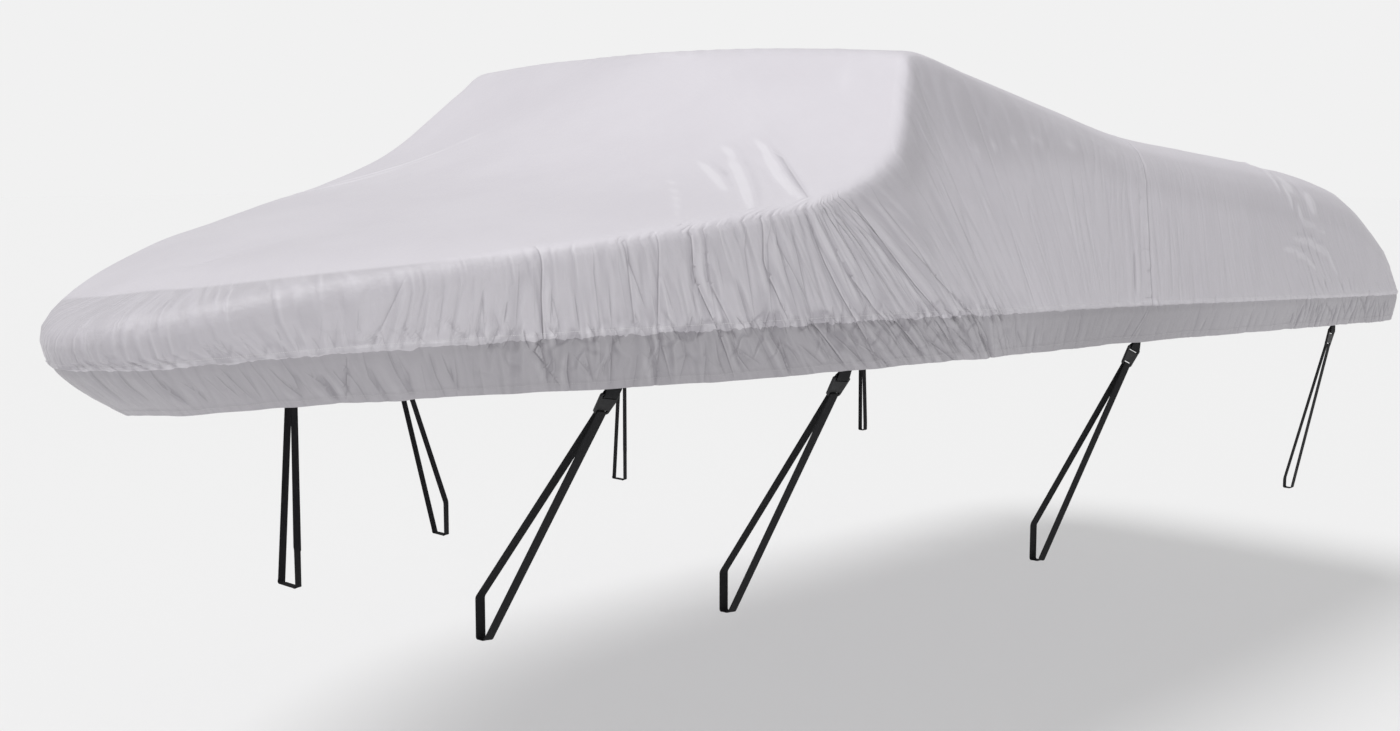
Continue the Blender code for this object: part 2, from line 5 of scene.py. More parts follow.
import bmesh
import bpy
import numpy as np
from mathutils import Matrix, Vector
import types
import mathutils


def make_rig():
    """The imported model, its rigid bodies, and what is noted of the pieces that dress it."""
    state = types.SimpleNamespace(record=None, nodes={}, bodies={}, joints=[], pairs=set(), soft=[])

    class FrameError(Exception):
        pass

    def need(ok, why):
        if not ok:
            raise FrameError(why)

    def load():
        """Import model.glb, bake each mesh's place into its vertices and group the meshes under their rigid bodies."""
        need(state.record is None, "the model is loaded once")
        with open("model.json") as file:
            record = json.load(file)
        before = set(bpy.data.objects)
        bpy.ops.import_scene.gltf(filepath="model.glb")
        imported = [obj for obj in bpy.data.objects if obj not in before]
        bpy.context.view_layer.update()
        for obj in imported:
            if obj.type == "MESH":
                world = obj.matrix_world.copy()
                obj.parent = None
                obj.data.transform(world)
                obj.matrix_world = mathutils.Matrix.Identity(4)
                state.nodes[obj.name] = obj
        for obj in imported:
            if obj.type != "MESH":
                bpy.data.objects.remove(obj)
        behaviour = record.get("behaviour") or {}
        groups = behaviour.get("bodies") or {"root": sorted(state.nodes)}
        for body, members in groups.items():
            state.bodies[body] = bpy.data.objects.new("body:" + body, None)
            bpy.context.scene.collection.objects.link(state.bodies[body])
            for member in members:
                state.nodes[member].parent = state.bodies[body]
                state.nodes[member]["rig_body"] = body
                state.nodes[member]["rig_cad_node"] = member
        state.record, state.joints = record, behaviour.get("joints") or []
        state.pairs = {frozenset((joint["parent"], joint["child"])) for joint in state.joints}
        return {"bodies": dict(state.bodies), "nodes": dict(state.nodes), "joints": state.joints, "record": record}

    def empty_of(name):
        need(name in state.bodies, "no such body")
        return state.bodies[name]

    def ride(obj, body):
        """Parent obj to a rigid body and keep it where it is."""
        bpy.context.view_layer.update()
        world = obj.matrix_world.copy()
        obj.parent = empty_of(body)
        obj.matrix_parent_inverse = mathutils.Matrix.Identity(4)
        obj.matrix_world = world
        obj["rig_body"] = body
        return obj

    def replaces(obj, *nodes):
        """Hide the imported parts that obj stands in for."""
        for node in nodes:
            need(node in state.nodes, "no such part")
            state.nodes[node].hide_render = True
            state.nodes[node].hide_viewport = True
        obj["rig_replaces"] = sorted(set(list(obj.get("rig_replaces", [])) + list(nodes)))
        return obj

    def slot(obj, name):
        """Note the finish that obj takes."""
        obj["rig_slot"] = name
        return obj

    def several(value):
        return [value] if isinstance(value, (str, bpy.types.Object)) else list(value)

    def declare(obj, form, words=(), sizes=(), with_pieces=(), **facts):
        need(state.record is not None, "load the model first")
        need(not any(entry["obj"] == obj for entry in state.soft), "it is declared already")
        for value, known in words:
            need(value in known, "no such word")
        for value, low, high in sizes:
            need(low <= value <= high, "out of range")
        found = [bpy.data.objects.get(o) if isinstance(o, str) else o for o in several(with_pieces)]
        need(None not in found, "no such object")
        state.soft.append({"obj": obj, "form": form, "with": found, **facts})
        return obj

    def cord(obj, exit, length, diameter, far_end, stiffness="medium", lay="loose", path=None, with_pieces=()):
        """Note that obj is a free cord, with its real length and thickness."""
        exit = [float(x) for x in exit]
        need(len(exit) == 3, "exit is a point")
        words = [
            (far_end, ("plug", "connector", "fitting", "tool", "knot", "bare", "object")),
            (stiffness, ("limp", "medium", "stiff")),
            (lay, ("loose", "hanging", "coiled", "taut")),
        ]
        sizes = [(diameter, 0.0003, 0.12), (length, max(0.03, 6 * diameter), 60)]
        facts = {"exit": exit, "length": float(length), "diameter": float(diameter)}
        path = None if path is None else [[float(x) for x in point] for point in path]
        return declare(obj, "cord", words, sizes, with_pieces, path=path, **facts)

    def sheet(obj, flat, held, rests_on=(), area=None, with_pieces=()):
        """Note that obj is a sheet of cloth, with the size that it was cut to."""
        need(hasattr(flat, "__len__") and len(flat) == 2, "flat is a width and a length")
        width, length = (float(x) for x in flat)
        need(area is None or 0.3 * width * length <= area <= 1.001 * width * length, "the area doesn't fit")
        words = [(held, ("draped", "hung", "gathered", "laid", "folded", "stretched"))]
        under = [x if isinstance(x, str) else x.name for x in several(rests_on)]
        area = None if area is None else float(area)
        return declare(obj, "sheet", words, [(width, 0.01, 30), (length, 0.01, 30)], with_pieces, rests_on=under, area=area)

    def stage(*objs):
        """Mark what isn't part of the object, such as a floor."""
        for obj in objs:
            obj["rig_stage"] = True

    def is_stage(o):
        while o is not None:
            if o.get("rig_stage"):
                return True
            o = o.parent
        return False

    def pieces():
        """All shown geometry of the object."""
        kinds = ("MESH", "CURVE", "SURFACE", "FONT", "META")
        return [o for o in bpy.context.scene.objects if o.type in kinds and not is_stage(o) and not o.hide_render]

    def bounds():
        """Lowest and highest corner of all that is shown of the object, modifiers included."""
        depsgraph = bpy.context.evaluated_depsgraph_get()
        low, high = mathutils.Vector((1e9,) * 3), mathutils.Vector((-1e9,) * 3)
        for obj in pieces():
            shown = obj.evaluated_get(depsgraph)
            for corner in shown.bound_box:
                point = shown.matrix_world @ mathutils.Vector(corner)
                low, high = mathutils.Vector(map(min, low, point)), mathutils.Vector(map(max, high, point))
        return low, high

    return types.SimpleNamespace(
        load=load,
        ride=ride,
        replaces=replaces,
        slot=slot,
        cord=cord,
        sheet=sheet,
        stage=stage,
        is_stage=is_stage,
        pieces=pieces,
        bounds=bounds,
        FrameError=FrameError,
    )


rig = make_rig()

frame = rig.load()
cadLow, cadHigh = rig.bounds()
print("frame loaded,", len(frame["nodes"]), "nodes")

port, starboard = -1, 1
sideNames = {port: "port", starboard: "starboard"}
upward = Vector((0, 0, 1))


# small helpers
def deselectAll():
    for item in bpy.context.selected_objects:
        item.select_set(False)


def useOnly(piece):
    deselectAll()
    piece.select_set(True)
    bpy.context.view_layer.objects.active = piece


def applyModifier(piece, kind, **settings):
    useOnly(piece)
    modifier = piece.modifiers.new(kind.lower(), kind)
    for name, value in settings.items():
        setattr(modifier, name, value)
    bpy.ops.object.modifier_apply(modifier=modifier.name)


def addObject(name, mesh):
    piece = bpy.data.objects.new(name, mesh)
    bpy.context.scene.collection.objects.link(piece)
    return piece


def smoothByAngle(piece, degrees):
    useOnly(piece)
    bpy.ops.object.shade_smooth_by_angle(angle=math.radians(degrees))


def smoothStep(low, high, values):
    part = np.clip((values - low) / (high - low), 0, 1)
    return part * part * (3 - 2 * part)


def mirrored(points):
    return points * np.array((1, -1, 1))


# picks some of a piece's edges or points, and leaves it in edit mode
def pickParts(piece, kind, wanted):
    useOnly(piece)
    bpy.ops.object.mode_set(mode="EDIT")
    bpy.ops.mesh.select_mode(type=kind)
    bpy.ops.mesh.select_all(action="DESELECT")
    bpy.ops.object.mode_set(mode="OBJECT")
    parts = piece.data.edges if kind == "EDGE" else piece.data.vertices
    parts.foreach_set("select", wanted)
    bpy.ops.object.mode_set(mode="EDIT")


# camera
cameraView = {
    "place": (-3.436, -3.415, -0.317),
    "aim": (0.7180, 0.6855, -0.1196),
    "lens": 42.79,
    "sensor": 36.0,
    "farthest": 200,
}


def addCamera():
    deselectAll()
    turn = Vector(cameraView["aim"]).to_track_quat("-Z", "Y").to_euler()
    bpy.ops.object.camera_add(location=cameraView["place"], rotation=turn)
    camera = bpy.context.object
    camera.data.lens = cameraView["lens"]
    camera.data.sensor_width = cameraView["sensor"]
    camera.data.clip_end = cameraView["farthest"]
    bpy.context.scene.camera = camera


addCamera()
print("camera placed")

# shape of the cover: one row for each rib of one half, from the bow round to the middle of the stern
# a rib runs from the gunwale seam over the ridge to the spine; the hem is hemIn inboard, hemDrop under
# columns: seam x, half width, z; ridge x, half width, z; spine x, z; roll; hemIn; hemDrop
ribs = np.array((
    (-1.830, 0.000, -0.747, -1.870, 0.000, -0.668, -1.50, -0.540, 0.120, 0.148, 0.116),
    (-1.800, 0.125, -0.742, -1.840, 0.128, -0.652, -1.47, -0.534, 0.110, 0.140, 0.116),
    (-1.720, 0.250, -0.733, -1.752, 0.252, -0.630, -1.42, -0.521, 0.085, 0.118, 0.116),
    (-1.600, 0.380, -0.717, -1.622, 0.374, -0.594, -1.35, -0.505, 0.065, 0.092, 0.116),
    (-1.460, 0.510, -0.702, -1.468, 0.492, -0.557, -1.26, -0.488, 0.055, 0.068, 0.116),
    (-1.260, 0.670, -0.687, -1.256, 0.646, -0.514, -1.13, -0.464, 0.048, 0.050, 0.118),
    (-1.020, 0.825, -0.676, -1.006, 0.800, -0.475, -0.95, -0.431, 0.045, 0.040, 0.122),
    (-0.750, 0.965, -0.670, -0.742, 0.950, -0.428, -0.72, -0.385, 0.045, 0.035, 0.122),
    (-0.500, 1.050, -0.668, -0.495, 1.035, -0.378, -0.50, -0.322, 0.045, 0.035, 0.120),
    (-0.260, 1.090, -0.671, -0.255, 1.020, -0.280, -0.28, -0.205, 0.050, 0.035, 0.118),
    (-0.060, 1.100, -0.677, -0.055, 0.905, -0.095, -0.09, -0.050, 0.050, 0.035, 0.116),
    (0.060, 1.100, -0.683, 0.045, 0.855, -0.031, 0.00, 0.000, 0.045, 0.035, 0.115),
    (0.320, 1.105, -0.690, 0.340, 0.870, -0.082, 0.35, -0.030, 0.090, 0.035, 0.112),
    (0.580, 1.105, -0.698, 0.740, 0.888, -0.161, 0.80, -0.095, 0.130, 0.035, 0.110),
    (0.830, 1.102, -0.707, 1.100, 0.914, -0.234, 1.20, -0.168, 0.160, 0.035, 0.108),
    (1.300, 1.095, -0.726, 1.500, 0.948, -0.275, 1.56, -0.228, 0.170, 0.035, 0.106),
    (1.900, 1.078, -0.751, 1.980, 0.975, -0.322, 1.96, -0.290, 0.170, 0.035, 0.104),
    (2.400, 1.060, -0.772, 2.400, 0.994, -0.398, 2.24, -0.345, 0.150, 0.030, 0.102),
    (2.740, 1.045, -0.784, 2.680, 0.990, -0.535, 2.38, -0.390, 0.140, 0.022, 0.102),
    (2.890, 0.990, -0.788, 2.828, 0.928, -0.570, 2.46, -0.403, 0.140, 0.018, 0.102),
    (2.970, 0.880, -0.790, 2.896, 0.805, -0.578, 2.50, -0.411, 0.140, 0.018, 0.102),
    (3.005, 0.600, -0.792, 2.925, 0.540, -0.576, 2.53, -0.418, 0.150, 0.020, 0.102),
    (3.015, 0.300, -0.793, 2.934, 0.270, -0.573, 2.55, -0.423, 0.150, 0.022, 0.102),
    (3.020, 0.000, -0.793, 2.938, 0.000, -0.573, 2.56, -0.425, 0.150, 0.022, 0.102),
))
coverShape = {
    "crossSeamRib": 14,
    "rollShare": 0.8,  # most of either leg that the ridge's rounding may take
    "rollUp": 0.1,  # the rounding reaches from 1 - rollUp to 1 + rollUp up the rib
    "crown": 0.010,  # how far the top bows up between ridge and spine
    "spineRound": 0.10,  # share of the top over which the spine is rounded off
    "hemLean": 0.6,  # share of the skirt's turn-in that is straight
    "seamRound": 0.007,  # half length of the turn at the gunwale seam
}

acrossMirror = np.array((1, -1, 1, 1, -1, 1, 1, 1, 1, 1, 1))
allRibs = np.vstack((ribs[1] * acrossMirror, ribs, ribs[-2] * acrossMirror))


# rows of the rib table at places between its rows, smooth across the middle line too
def ribRows(places):
    places = np.clip(places, 0, len(ribs) - 1) + 1
    low = np.minimum(places.astype(int), len(ribs) - 1)
    part = (places - low)[..., None]
    square, cube = part**2, part**3
    start, end = allRibs[low], allRibs[low + 1]
    startSlope = (end - allRibs[low - 1]) / 2
    endSlope = (allRibs[np.minimum(low + 2, len(ribs) + 1)] - start) / 2
    return (start * (2 * cube - 3 * square + 1) + startSlope * (cube - 2 * square + part)
            + end * (3 * square - 2 * cube) + endSlope * (cube - square))


finePlaces = np.linspace(0, len(ribs) - 1, 1600)
fineSteps = np.linalg.norm(np.diff(ribRows(finePlaces)[:, :3], axis=0), axis=1)
fineAlong = np.concatenate(([0], np.cumsum(fineSteps)))
halfRound = float(fineAlong[-1])  # from the bow round one side to the middle of the stern
crossSeam = float(np.interp(coverShape["crossSeamRib"], finePlaces, fineAlong))


def length(vectors):
    return np.linalg.norm(vectors, axis=-1, keepdims=True)


# reflects a distance past the bow or the stern back, and says where that happened
def foldBack(along):
    past = (along < 0) | (along > halfRound)
    return np.where(along < 0, -along, np.where(along > halfRound, 2 * halfRound - along, along)), past


def ribAt(along):
    rows = ribRows(np.interp(along, fineAlong, finePlaces))
    seam, ridge = mirrored(rows[..., 0:3]), mirrored(rows[..., 3:6])
    spine = np.stack([rows[..., 6], np.zeros(along.shape), rows[..., 7]], axis=-1)
    roll, hemIn, hemDrop = rows[..., 8:9], rows[..., 9:10], rows[..., 10:11]
    rollShare = coverShape["rollShare"]
    lowEnd = ridge + (seam - ridge) * np.minimum(roll / length(ridge - seam), rollShare)
    highEnd = ridge + (spine - ridge) * np.minimum(roll / length(spine - ridge), rollShare)
    return seam, lowEnd, ridge, highEnd, spine, hemIn, hemDrop


def seamAt(along):
    along, past = foldBack(along)
    seam = ribAt(along)[0]
    return np.where(past[..., None], mirrored(seam), seam)


# lengths up one rib: the skirt, the straight side, the rounded ridge and the top
def ribLengths(along):
    seam, lowEnd, ridge, highEnd, spine, hemIn, hemDrop = ribAt(along)
    rolled = 0.5 * (length(ridge - lowEnd) + length(highEnd - ridge) + length(highEnd - lowEnd))
    return [part[..., 0] for part in
            (np.hypot(hemIn, hemDrop), length(lowEnd - seam), rolled, length(spine - highEnd))]


# how much of the side, the rounded ridge and the top lies below up: -1 hem, 0 seam, 1 ridge, 2 spine
def partsBelow(up):
    rollUp = coverShape["rollUp"]
    ends = (up / (1 - rollUp), (up - 1 + rollUp) / (2 * rollUp), (up - 1 - rollUp) / (1 - rollUp))
    return [np.clip(end, 0, 1) for end in ends]


# height above the gunwale seam, measured on the cloth
def heightAt(along, up):
    skirt, *lengths = ribLengths(along)
    height = np.minimum(up, 0) * skirt
    for part, size in zip(partsBelow(up), lengths):
        height = height + part * size
    return height


# points of the port half's smooth surface, at along from the bow and up the rib
def surfaceAt(along, up):
    along, past = foldBack(along)
    past = past ^ (up > 2)
    up = np.where(up > 2, 4 - up, up)
    seam, lowEnd, ridge, highEnd, spine, hemIn, hemDrop = ribAt(along)
    step = 0.01
    run = seamAt(along + step) - seamAt(along - step)
    away = np.stack([run[..., 1], -run[..., 0], np.zeros(along.shape)], axis=-1)
    away = away / length(away)
    down = np.array((0, 0, -1.0))
    lean = coverShape["hemLean"]

    def skirtPoint(part):
        return seam - away * hemIn * (lean * part + (1 - lean) * part**2) + down * hemDrop * part

    sidePart, rollPart, topPart = (part[..., None] for part in partsBelow(up))
    side = seam + (lowEnd - seam) * sidePart
    rolled = lowEnd * (1 - rollPart) ** 2 + 2 * ridge * rollPart * (1 - rollPart) + highEnd * rollPart**2
    crown = coverShape["crown"]
    spineSlope = (spine - highEnd)[..., 2:3] - crown * math.pi
    soft = coverShape["spineRound"]
    lift = crown * np.sin(math.pi * topPart) - spineSlope * (np.hypot(1 - topPart, soft) - (1 - topPart))
    top = highEnd + (spine - highEnd) * topPart - down * np.where(topPart > 0, lift, 0)
    points = np.where(topPart > 0, top, np.where(rollPart > 0, rolled, side))
    points = np.where((up < 0)[..., None], skirtPoint(np.maximum(-up, 0)[..., None]), points)
    # the turn at the gunwale seam
    straight = length(lowEnd - seam)
    turnHalf = np.minimum(coverShape["seamRound"], 0.4 * straight)
    skirtLength = np.hypot(hemIn, hemDrop)
    height = np.where(up[..., None] < 0, up[..., None] * skirtLength, sidePart * straight)
    above, below = seam + (lowEnd - seam) / straight * turnHalf, skirtPoint(turnHalf / skirtLength)
    turn = np.clip((turnHalf - height) / (2 * turnHalf), 0, 1)
    turned = above * (1 - turn) ** 2 + 2 * seam * turn * (1 - turn) + below * turn**2
    points = np.where(np.abs(height) < turnHalf, turned, points)
    return np.where(past[..., None], mirrored(points), points)


def outwardAt(along, up):
    step, stepUp = 0.004, 0.01
    across = surfaceAt(along + step, up) - surfaceAt(along - step, up)
    rise = surfaceAt(along, up + stepUp) - surfaceAt(along, np.maximum(up - stepUp, -1))
    # the spine has no run at its tips, so they face up
    normal = np.cross(across, rise) + np.array((0, 0, 1e-9))
    return normal / length(normal)


print("cover shape worked out, half way round is", round(halfRound, 3))

# tie-down straps; hemX is where the loop is sewn, bar is the place of the trailer's bar it goes round
strapColumns = ("side", "number", "hemX", "barX", "barY", "barWide", "barHigh", "barSlant")
strapRows = (
    (port, 1, -0.972, -0.995, 0.385, 0.025, 0.100, 0.30),
    (port, 2, -0.443, -0.410, 0.635, 0.025, 0.100, 0.30),
    (port, 3, 0.832, 0.610, 0.900, 0.025, 0.100, 0.30),
    (port, 4, 2.250, 2.150, 0.950, 0.025, 0.030, 0.00),
    (starboard, 1, -0.650, -1.030, 0.450, 0.080, 0.100, 0.30),
    (starboard, 2, -0.250, -0.360, 0.650, 0.055, 0.100, 0.30),
    (starboard, 3, 0.840, 0.640, 0.905, 0.055, 0.100, 0.30),
    (starboard, 4, 2.230, 2.130, 0.950, 0.025, 0.030, 0.00),
)
straps = [dict(zip(strapColumns, row)) for row in strapRows]
strapSizes = {
    "barBottom": -1.440,
    "width": 0.025,
    "thick": 0.002,
    "bend": 0.006,
    "spare": 0.0006,
    "endGap": 0.0014,
    "step": 0.010,
}
loopSizes = {
    "width": 0.035,
    "thick": 0.0012,
    "tab": 0.024,
    "drop": 0.025,
    "slack": 0.0019,
    "inset": 0.0028,
    "gap": 0.0004,
    "hang": 0.001,
    "turnSteps": 12,
    "step": 0.004,
}
buckleSizes = {
    "topWidth": 0.049,
    "footWidth": 0.038,
    "height": 0.056,
    "thick": 0.007,
    "bar": 0.004,
    "corner": 0.006,
    "edge": 0.0007,
    "slot": {"high": 0.0075, "spare": 0.0015, "corner": 0.002},
    "grip": {"wide": 0.027, "deep": 0.0022, "corner": 0.001},
    "ribs": {"count": 4, "size": (0.025, 0.0022, 0.0024), "round": 0.0006},
}


# the hem's point at this x, the level directions along it, aft, and outward, and the one up the skirt
def hemPlace(side, hemX):
    fine = np.linspace(0, halfRound, 4000)
    hem = surfaceAt(fine, np.full(fine.shape, -1.0))
    along = fine[int(np.argmax(hem[:, 0] > hemX))]
    around = np.array((along - 0.03, along, along + 0.03))
    before, point, after = (Vector(p) for p in surfaceAt(around, np.full(3, -1.0)))
    higher = Vector(surfaceAt(around[1:2], np.array((-2 / 3,)))[0])
    aft, rise = after - before, (higher - point).normalized()
    if side == starboard:
        point.y, aft.y, rise.y = -point.y, -aft.y, -rise.y
    aft.z = 0
    aft.normalize()
    return {"point": point, "aft": aft, "away": aft.cross(upward) * -side, "rise": rise}


for strap in straps:
    strap["hem"] = hemPlace(strap["side"], strap["hemX"])


def barCorners(strap):
    outerLow = Vector((strap["barX"], strap["side"] * strap["barY"], strapSizes["barBottom"]))
    innerLow = outerLow + Vector((0, -strap["side"] * strap["barWide"], 0))
    alongBar = Vector((1, strap["side"] * strap["barSlant"], 0)).normalized()
    return outerLow, innerLow, innerLow + upward * strap["barHigh"], alongBar


def facing(direction, outward):
    return -direction if direction.dot(outward) < 0 else direction


# directions of a strap's buckle: across it, out of its face and down it
def strapFrame(strap):
    outerLow, _, innerHigh, alongBar = barCorners(strap)
    down = ((outerLow + innerHigh) / 2 - strap["hem"]["point"]).normalized()
    across = (alongBar - down * alongBar.dot(down)).normalized()
    return across, facing(down.cross(across), strap["hem"]["away"]), down


# the middle of the loop's two layers at the hem, outer and inner
def loopFeet(strap):
    hem = strap["hem"]
    throughWall = facing(hem["aft"].cross(hem["rise"]).normalized(), hem["away"])
    outerSkin = hem["point"] - throughWall * (loopSizes["inset"] + loopSizes["thick"] / 2)
    return outerSkin, outerSkin - throughWall * (loopSizes["thick"] + loopSizes["gap"])


def buckleTop(strap):
    outerSkin, innerSkin = loopFeet(strap)
    return (outerSkin + innerSkin) / 2 + strapFrame(strap)[2] * (loopSizes["drop"] - buckleSizes["bar"] / 4)


def roundedCorner(before, corner, after, radius, steps=6):
    start = corner + (before - corner).normalized() * radius
    end = corner + (after - corner).normalized() * radius
    parts = [step / steps for step in range(steps + 1)]
    return [start * (1 - part) ** 2 + corner * 2 * part * (1 - part) + end * part**2 for part in parts]


# fills in a route's long runs, with the direction of the width at each point
def spaced(route, widths, step):
    points, broads = [route[0]], [widths[0]]
    for start, end, startWidth, endWidth in zip(route[:-1], route[1:], widths[:-1], widths[1:]):
        count = max(1, math.ceil((end - start).length / step))
        for index in range(1, count + 1):
            points.append(start.lerp(end, index / count))
            broads.append(startWidth.lerp(endWidth, index / count).normalized())
    return points, broads


# out of the buckle, down outside the bar, under it and up inside to the buckle again
def strapRoute(strap):
    across, face, down = strapFrame(strap)
    outerLow, innerLow, innerHigh, alongBar = barCorners(strap)
    buckleFoot = buckleTop(strap) + down * (buckleSizes["height"] - buckleSizes["bar"])
    slot = buckleFoot - down * (buckleSizes["bar"] / 2 + buckleSizes["slot"]["high"] / 2)
    clear = face * (buckleSizes["thick"] / 2 + strapSizes["spare"] + strapSizes["thick"] / 2)
    outerTop, innerTop = buckleFoot + clear, buckleFoot - clear
    skin = strapSizes["thick"] / 2
    aside = Vector((0, strap["side"] * skin, 0))
    outerLow = outerLow + aside - upward * skin
    innerLow = innerLow - aside - upward * skin
    innerHigh = innerHigh - aside + upward * skin
    bend = strapSizes["bend"]
    route = [slot + face * strapSizes["endGap"], slot + clear, outerTop]
    route += roundedCorner(outerTop, outerLow, innerLow, bend)
    route += roundedCorner(outerLow, innerLow, innerHigh, bend)
    route += roundedCorner(innerLow, innerHigh, innerTop, bend)
    route += [innerTop, slot - clear, slot - face * strapSizes["endGap"]]
    top, bottom = outerTop.z, outerLow.z
    parts = [min(max((top - point.z) / (top - bottom), 0), 1) for point in route]
    return spaced(route, [across.lerp(alongBar, part).normalized() for part in parts], strapSizes["step"])


# up inside the hem, down round the buckle's top bar and up again
def loopRoute(strap):
    across, face, down = strapFrame(strap)
    aft, rise = strap["hem"]["aft"], strap["hem"]["rise"]
    outerSkin, innerSkin = loopFeet(strap)
    bar, tab, hang = buckleSizes["bar"], loopSizes["tab"], loopSizes["hang"]
    turnRadius = buckleSizes["thick"] / 2 + loopSizes["slack"] + loopSizes["thick"] / 2
    centre = (outerSkin + innerSkin) / 2 + down * loopSizes["drop"]
    halfway = aft.lerp(across, 0.5).normalized()
    outerFoot, innerFoot = outerSkin + down * hang, innerSkin + down * hang
    outerBar, innerBar = centre + face * turnRadius - down * bar, centre - face * turnRadius - down * bar
    route = [outerSkin + rise * tab, outerFoot, outerFoot.lerp(outerBar, 0.5), outerBar]
    for index in range(loopSizes["turnSteps"] + 1):
        angle = math.pi * index / loopSizes["turnSteps"]
        route.append(centre + (face * math.cos(angle) + down * math.sin(angle)) * turnRadius)
    route += [innerBar, innerBar.lerp(innerFoot, 0.5), innerFoot, innerSkin + rise * tab]
    widths = [aft] * 2 + [halfway] + [across] * (loopSizes["turnSteps"] + 3) + [halfway] + [aft] * 2
    return spaced(route, widths, loopSizes["step"])


# flat webbing: rounded edges, ribs along it, its weave laid out in its own UV map in metres
def makeWebbing(name, route, broads, width, thick, material):
    steps, squareness = 12, 8
    places = [-math.cos(math.pi * index / steps) for index in range(steps + 1)]
    section = [(place, math.sqrt(max(1 - abs(place) ** squareness, 0))) for place in places]
    section += [(place, -height) for place, height in reversed(section[1:-1])]
    mesh = bpy.data.meshes.new(name)
    body = bmesh.new()
    weave = body.loops.layers.uv.new("UVMap")
    rings, alongs, travelled = [], [], 0.0
    for index, point in enumerate(route):
        before, after = route[max(index - 1, 0)], route[min(index + 1, len(route) - 1)]
        run = (after - before).normalized()
        travelled += (point - before).length if index else 0
        broad = (broads[index] - run * broads[index].dot(run)).normalized() * width / 2
        flat = run.cross(broad).normalized() * thick / 2
        if 0 < index < len(route) - 1:
            first, second = (point - before).normalized(), (after - point).normalized()
            flat = flat / max(math.sqrt(max((1 + first.dot(second)) / 2, 0)), 0.6)
        rings.append([body.verts.new(point + broad * x + flat * y) for x, y in section])
        alongs.append(travelled)
    count = len(section)
    for first, second, low, high in zip(rings[:-1], rings[1:], alongs[:-1], alongs[1:]):
        for edge in range(count):
            after = (edge + 1) % count
            face = body.faces.new((first[edge], first[after], second[after], second[edge]))
            sides = [section[edge][0], section[after][0], section[after][0], section[edge][0]]
            for corner, x, y in zip(face.loops, sides, (low, low, high, high)):
                corner[weave].uv = (x * width / 2, y)
    body.faces.new(rings[0][::-1])
    body.faces.new(rings[-1])
    bmesh.ops.recalc_face_normals(body, faces=body.faces)
    body.to_mesh(mesh)
    body.free()
    mesh.materials.append(material)
    piece = addObject(name, mesh)
    smoothByAngle(piece, 50)
    return piece


# materials: short names for the nodes that the finishes are made of
def newFinish(name, colour, roughness, specular, sheen=0.0):
    material = bpy.data.materials.new(name)
    material.use_nodes = True
    shader = material.node_tree.nodes["Principled BSDF"]
    shader.inputs["Base Color"].default_value = (*colour, 1)
    shader.inputs["Roughness"].default_value = roughness
    shader.inputs["Specular IOR Level"].default_value = specular
    shader.inputs["Sheen Weight"].default_value = sheen
    shader.inputs["Sheen Roughness"].default_value = 0.4
    return material, material.node_tree, shader


def plug(tree, source, socket):
    if isinstance(source, (int, float)):
        socket.default_value = source
    elif isinstance(source, tuple):
        socket.default_value = (*source, 1)
    else:
        tree.links.new(source, socket)


def coordinates(tree, kind):
    return tree.nodes.new("ShaderNodeTexCoord").outputs[kind]


def readAttribute(tree, name):
    node = tree.nodes.new("ShaderNodeAttribute")
    node.attribute_name = name
    return node.outputs["Fac"]


def calc(tree, operation, *values):
    node = tree.nodes.new("ShaderNodeMath")
    node.operation = operation
    for value, socket in zip(values, node.inputs):
        plug(tree, value, socket)
    return node.outputs[0]


def times(tree, first, *others):
    for other in others:
        first = calc(tree, "MULTIPLY", first, other)
    return first


def apart(tree, value, middle):
    return calc(tree, "ABSOLUTE", calc(tree, "SUBTRACT", value, middle))


def splitUp(tree, vector):
    node = tree.nodes.new("ShaderNodeSeparateXYZ")
    plug(tree, vector, node.inputs[0])
    return node.outputs[0], node.outputs[1]


# uneven spots: how many a metre in each direction, detail and roughness
def spots(tree, vector, scale, detail, roughness):
    mapping = tree.nodes.new("ShaderNodeMapping")
    plug(tree, vector, mapping.inputs["Vector"])
    mapping.inputs["Scale"].default_value = scale
    node = tree.nodes.new("ShaderNodeTexNoise")
    plug(tree, mapping.outputs[0], node.inputs["Vector"])
    node.inputs["Scale"].default_value = 1.0
    node.inputs["Detail"].default_value = detail
    node.inputs["Roughness"].default_value = roughness
    return node.outputs["Fac"]


def ramp(tree, value, low, high, start=0.0, end=1.0):
    node = tree.nodes.new("ShaderNodeMapRange")
    node.interpolation_type = "SMOOTHSTEP"
    for source, socket in zip((value, low, high, start, end), node.inputs):
        plug(tree, source, socket)
    return node.outputs[0]


def blendColours(tree, amount, first, second):
    node = tree.nodes.new("ShaderNodeMix")
    node.data_type = "RGBA"
    for source, index in ((amount, 0), (first, 6), (second, 7)):
        plug(tree, source, node.inputs[index])
    return node.outputs[2]


def raised(tree, height, distance, strength, under=None):
    node = tree.nodes.new("ShaderNodeBump")
    node.inputs["Distance"].default_value = distance
    node.inputs["Strength"].default_value = strength
    plug(tree, height, node.inputs["Height"])
    if under is not None:
        plug(tree, under, node.inputs["Normal"])
    return node.outputs[0]


webbingLook = {
    "dark": (0.006, 0.006, 0.007),
    "light": (0.020, 0.020, 0.022),
    "rib": 0.0021,
    "pick": 0.0013,
    "slant": 2.2,  # how far the picks slant from rib to rib
    "raise": (0.00022, 0.9),
    "fuzz": ((900, 500, 1), 2.0, 0.5),
    "shine": (0.68, 0.20),  # roughness and specular
    "roughness": (0.60, 0.76),
}


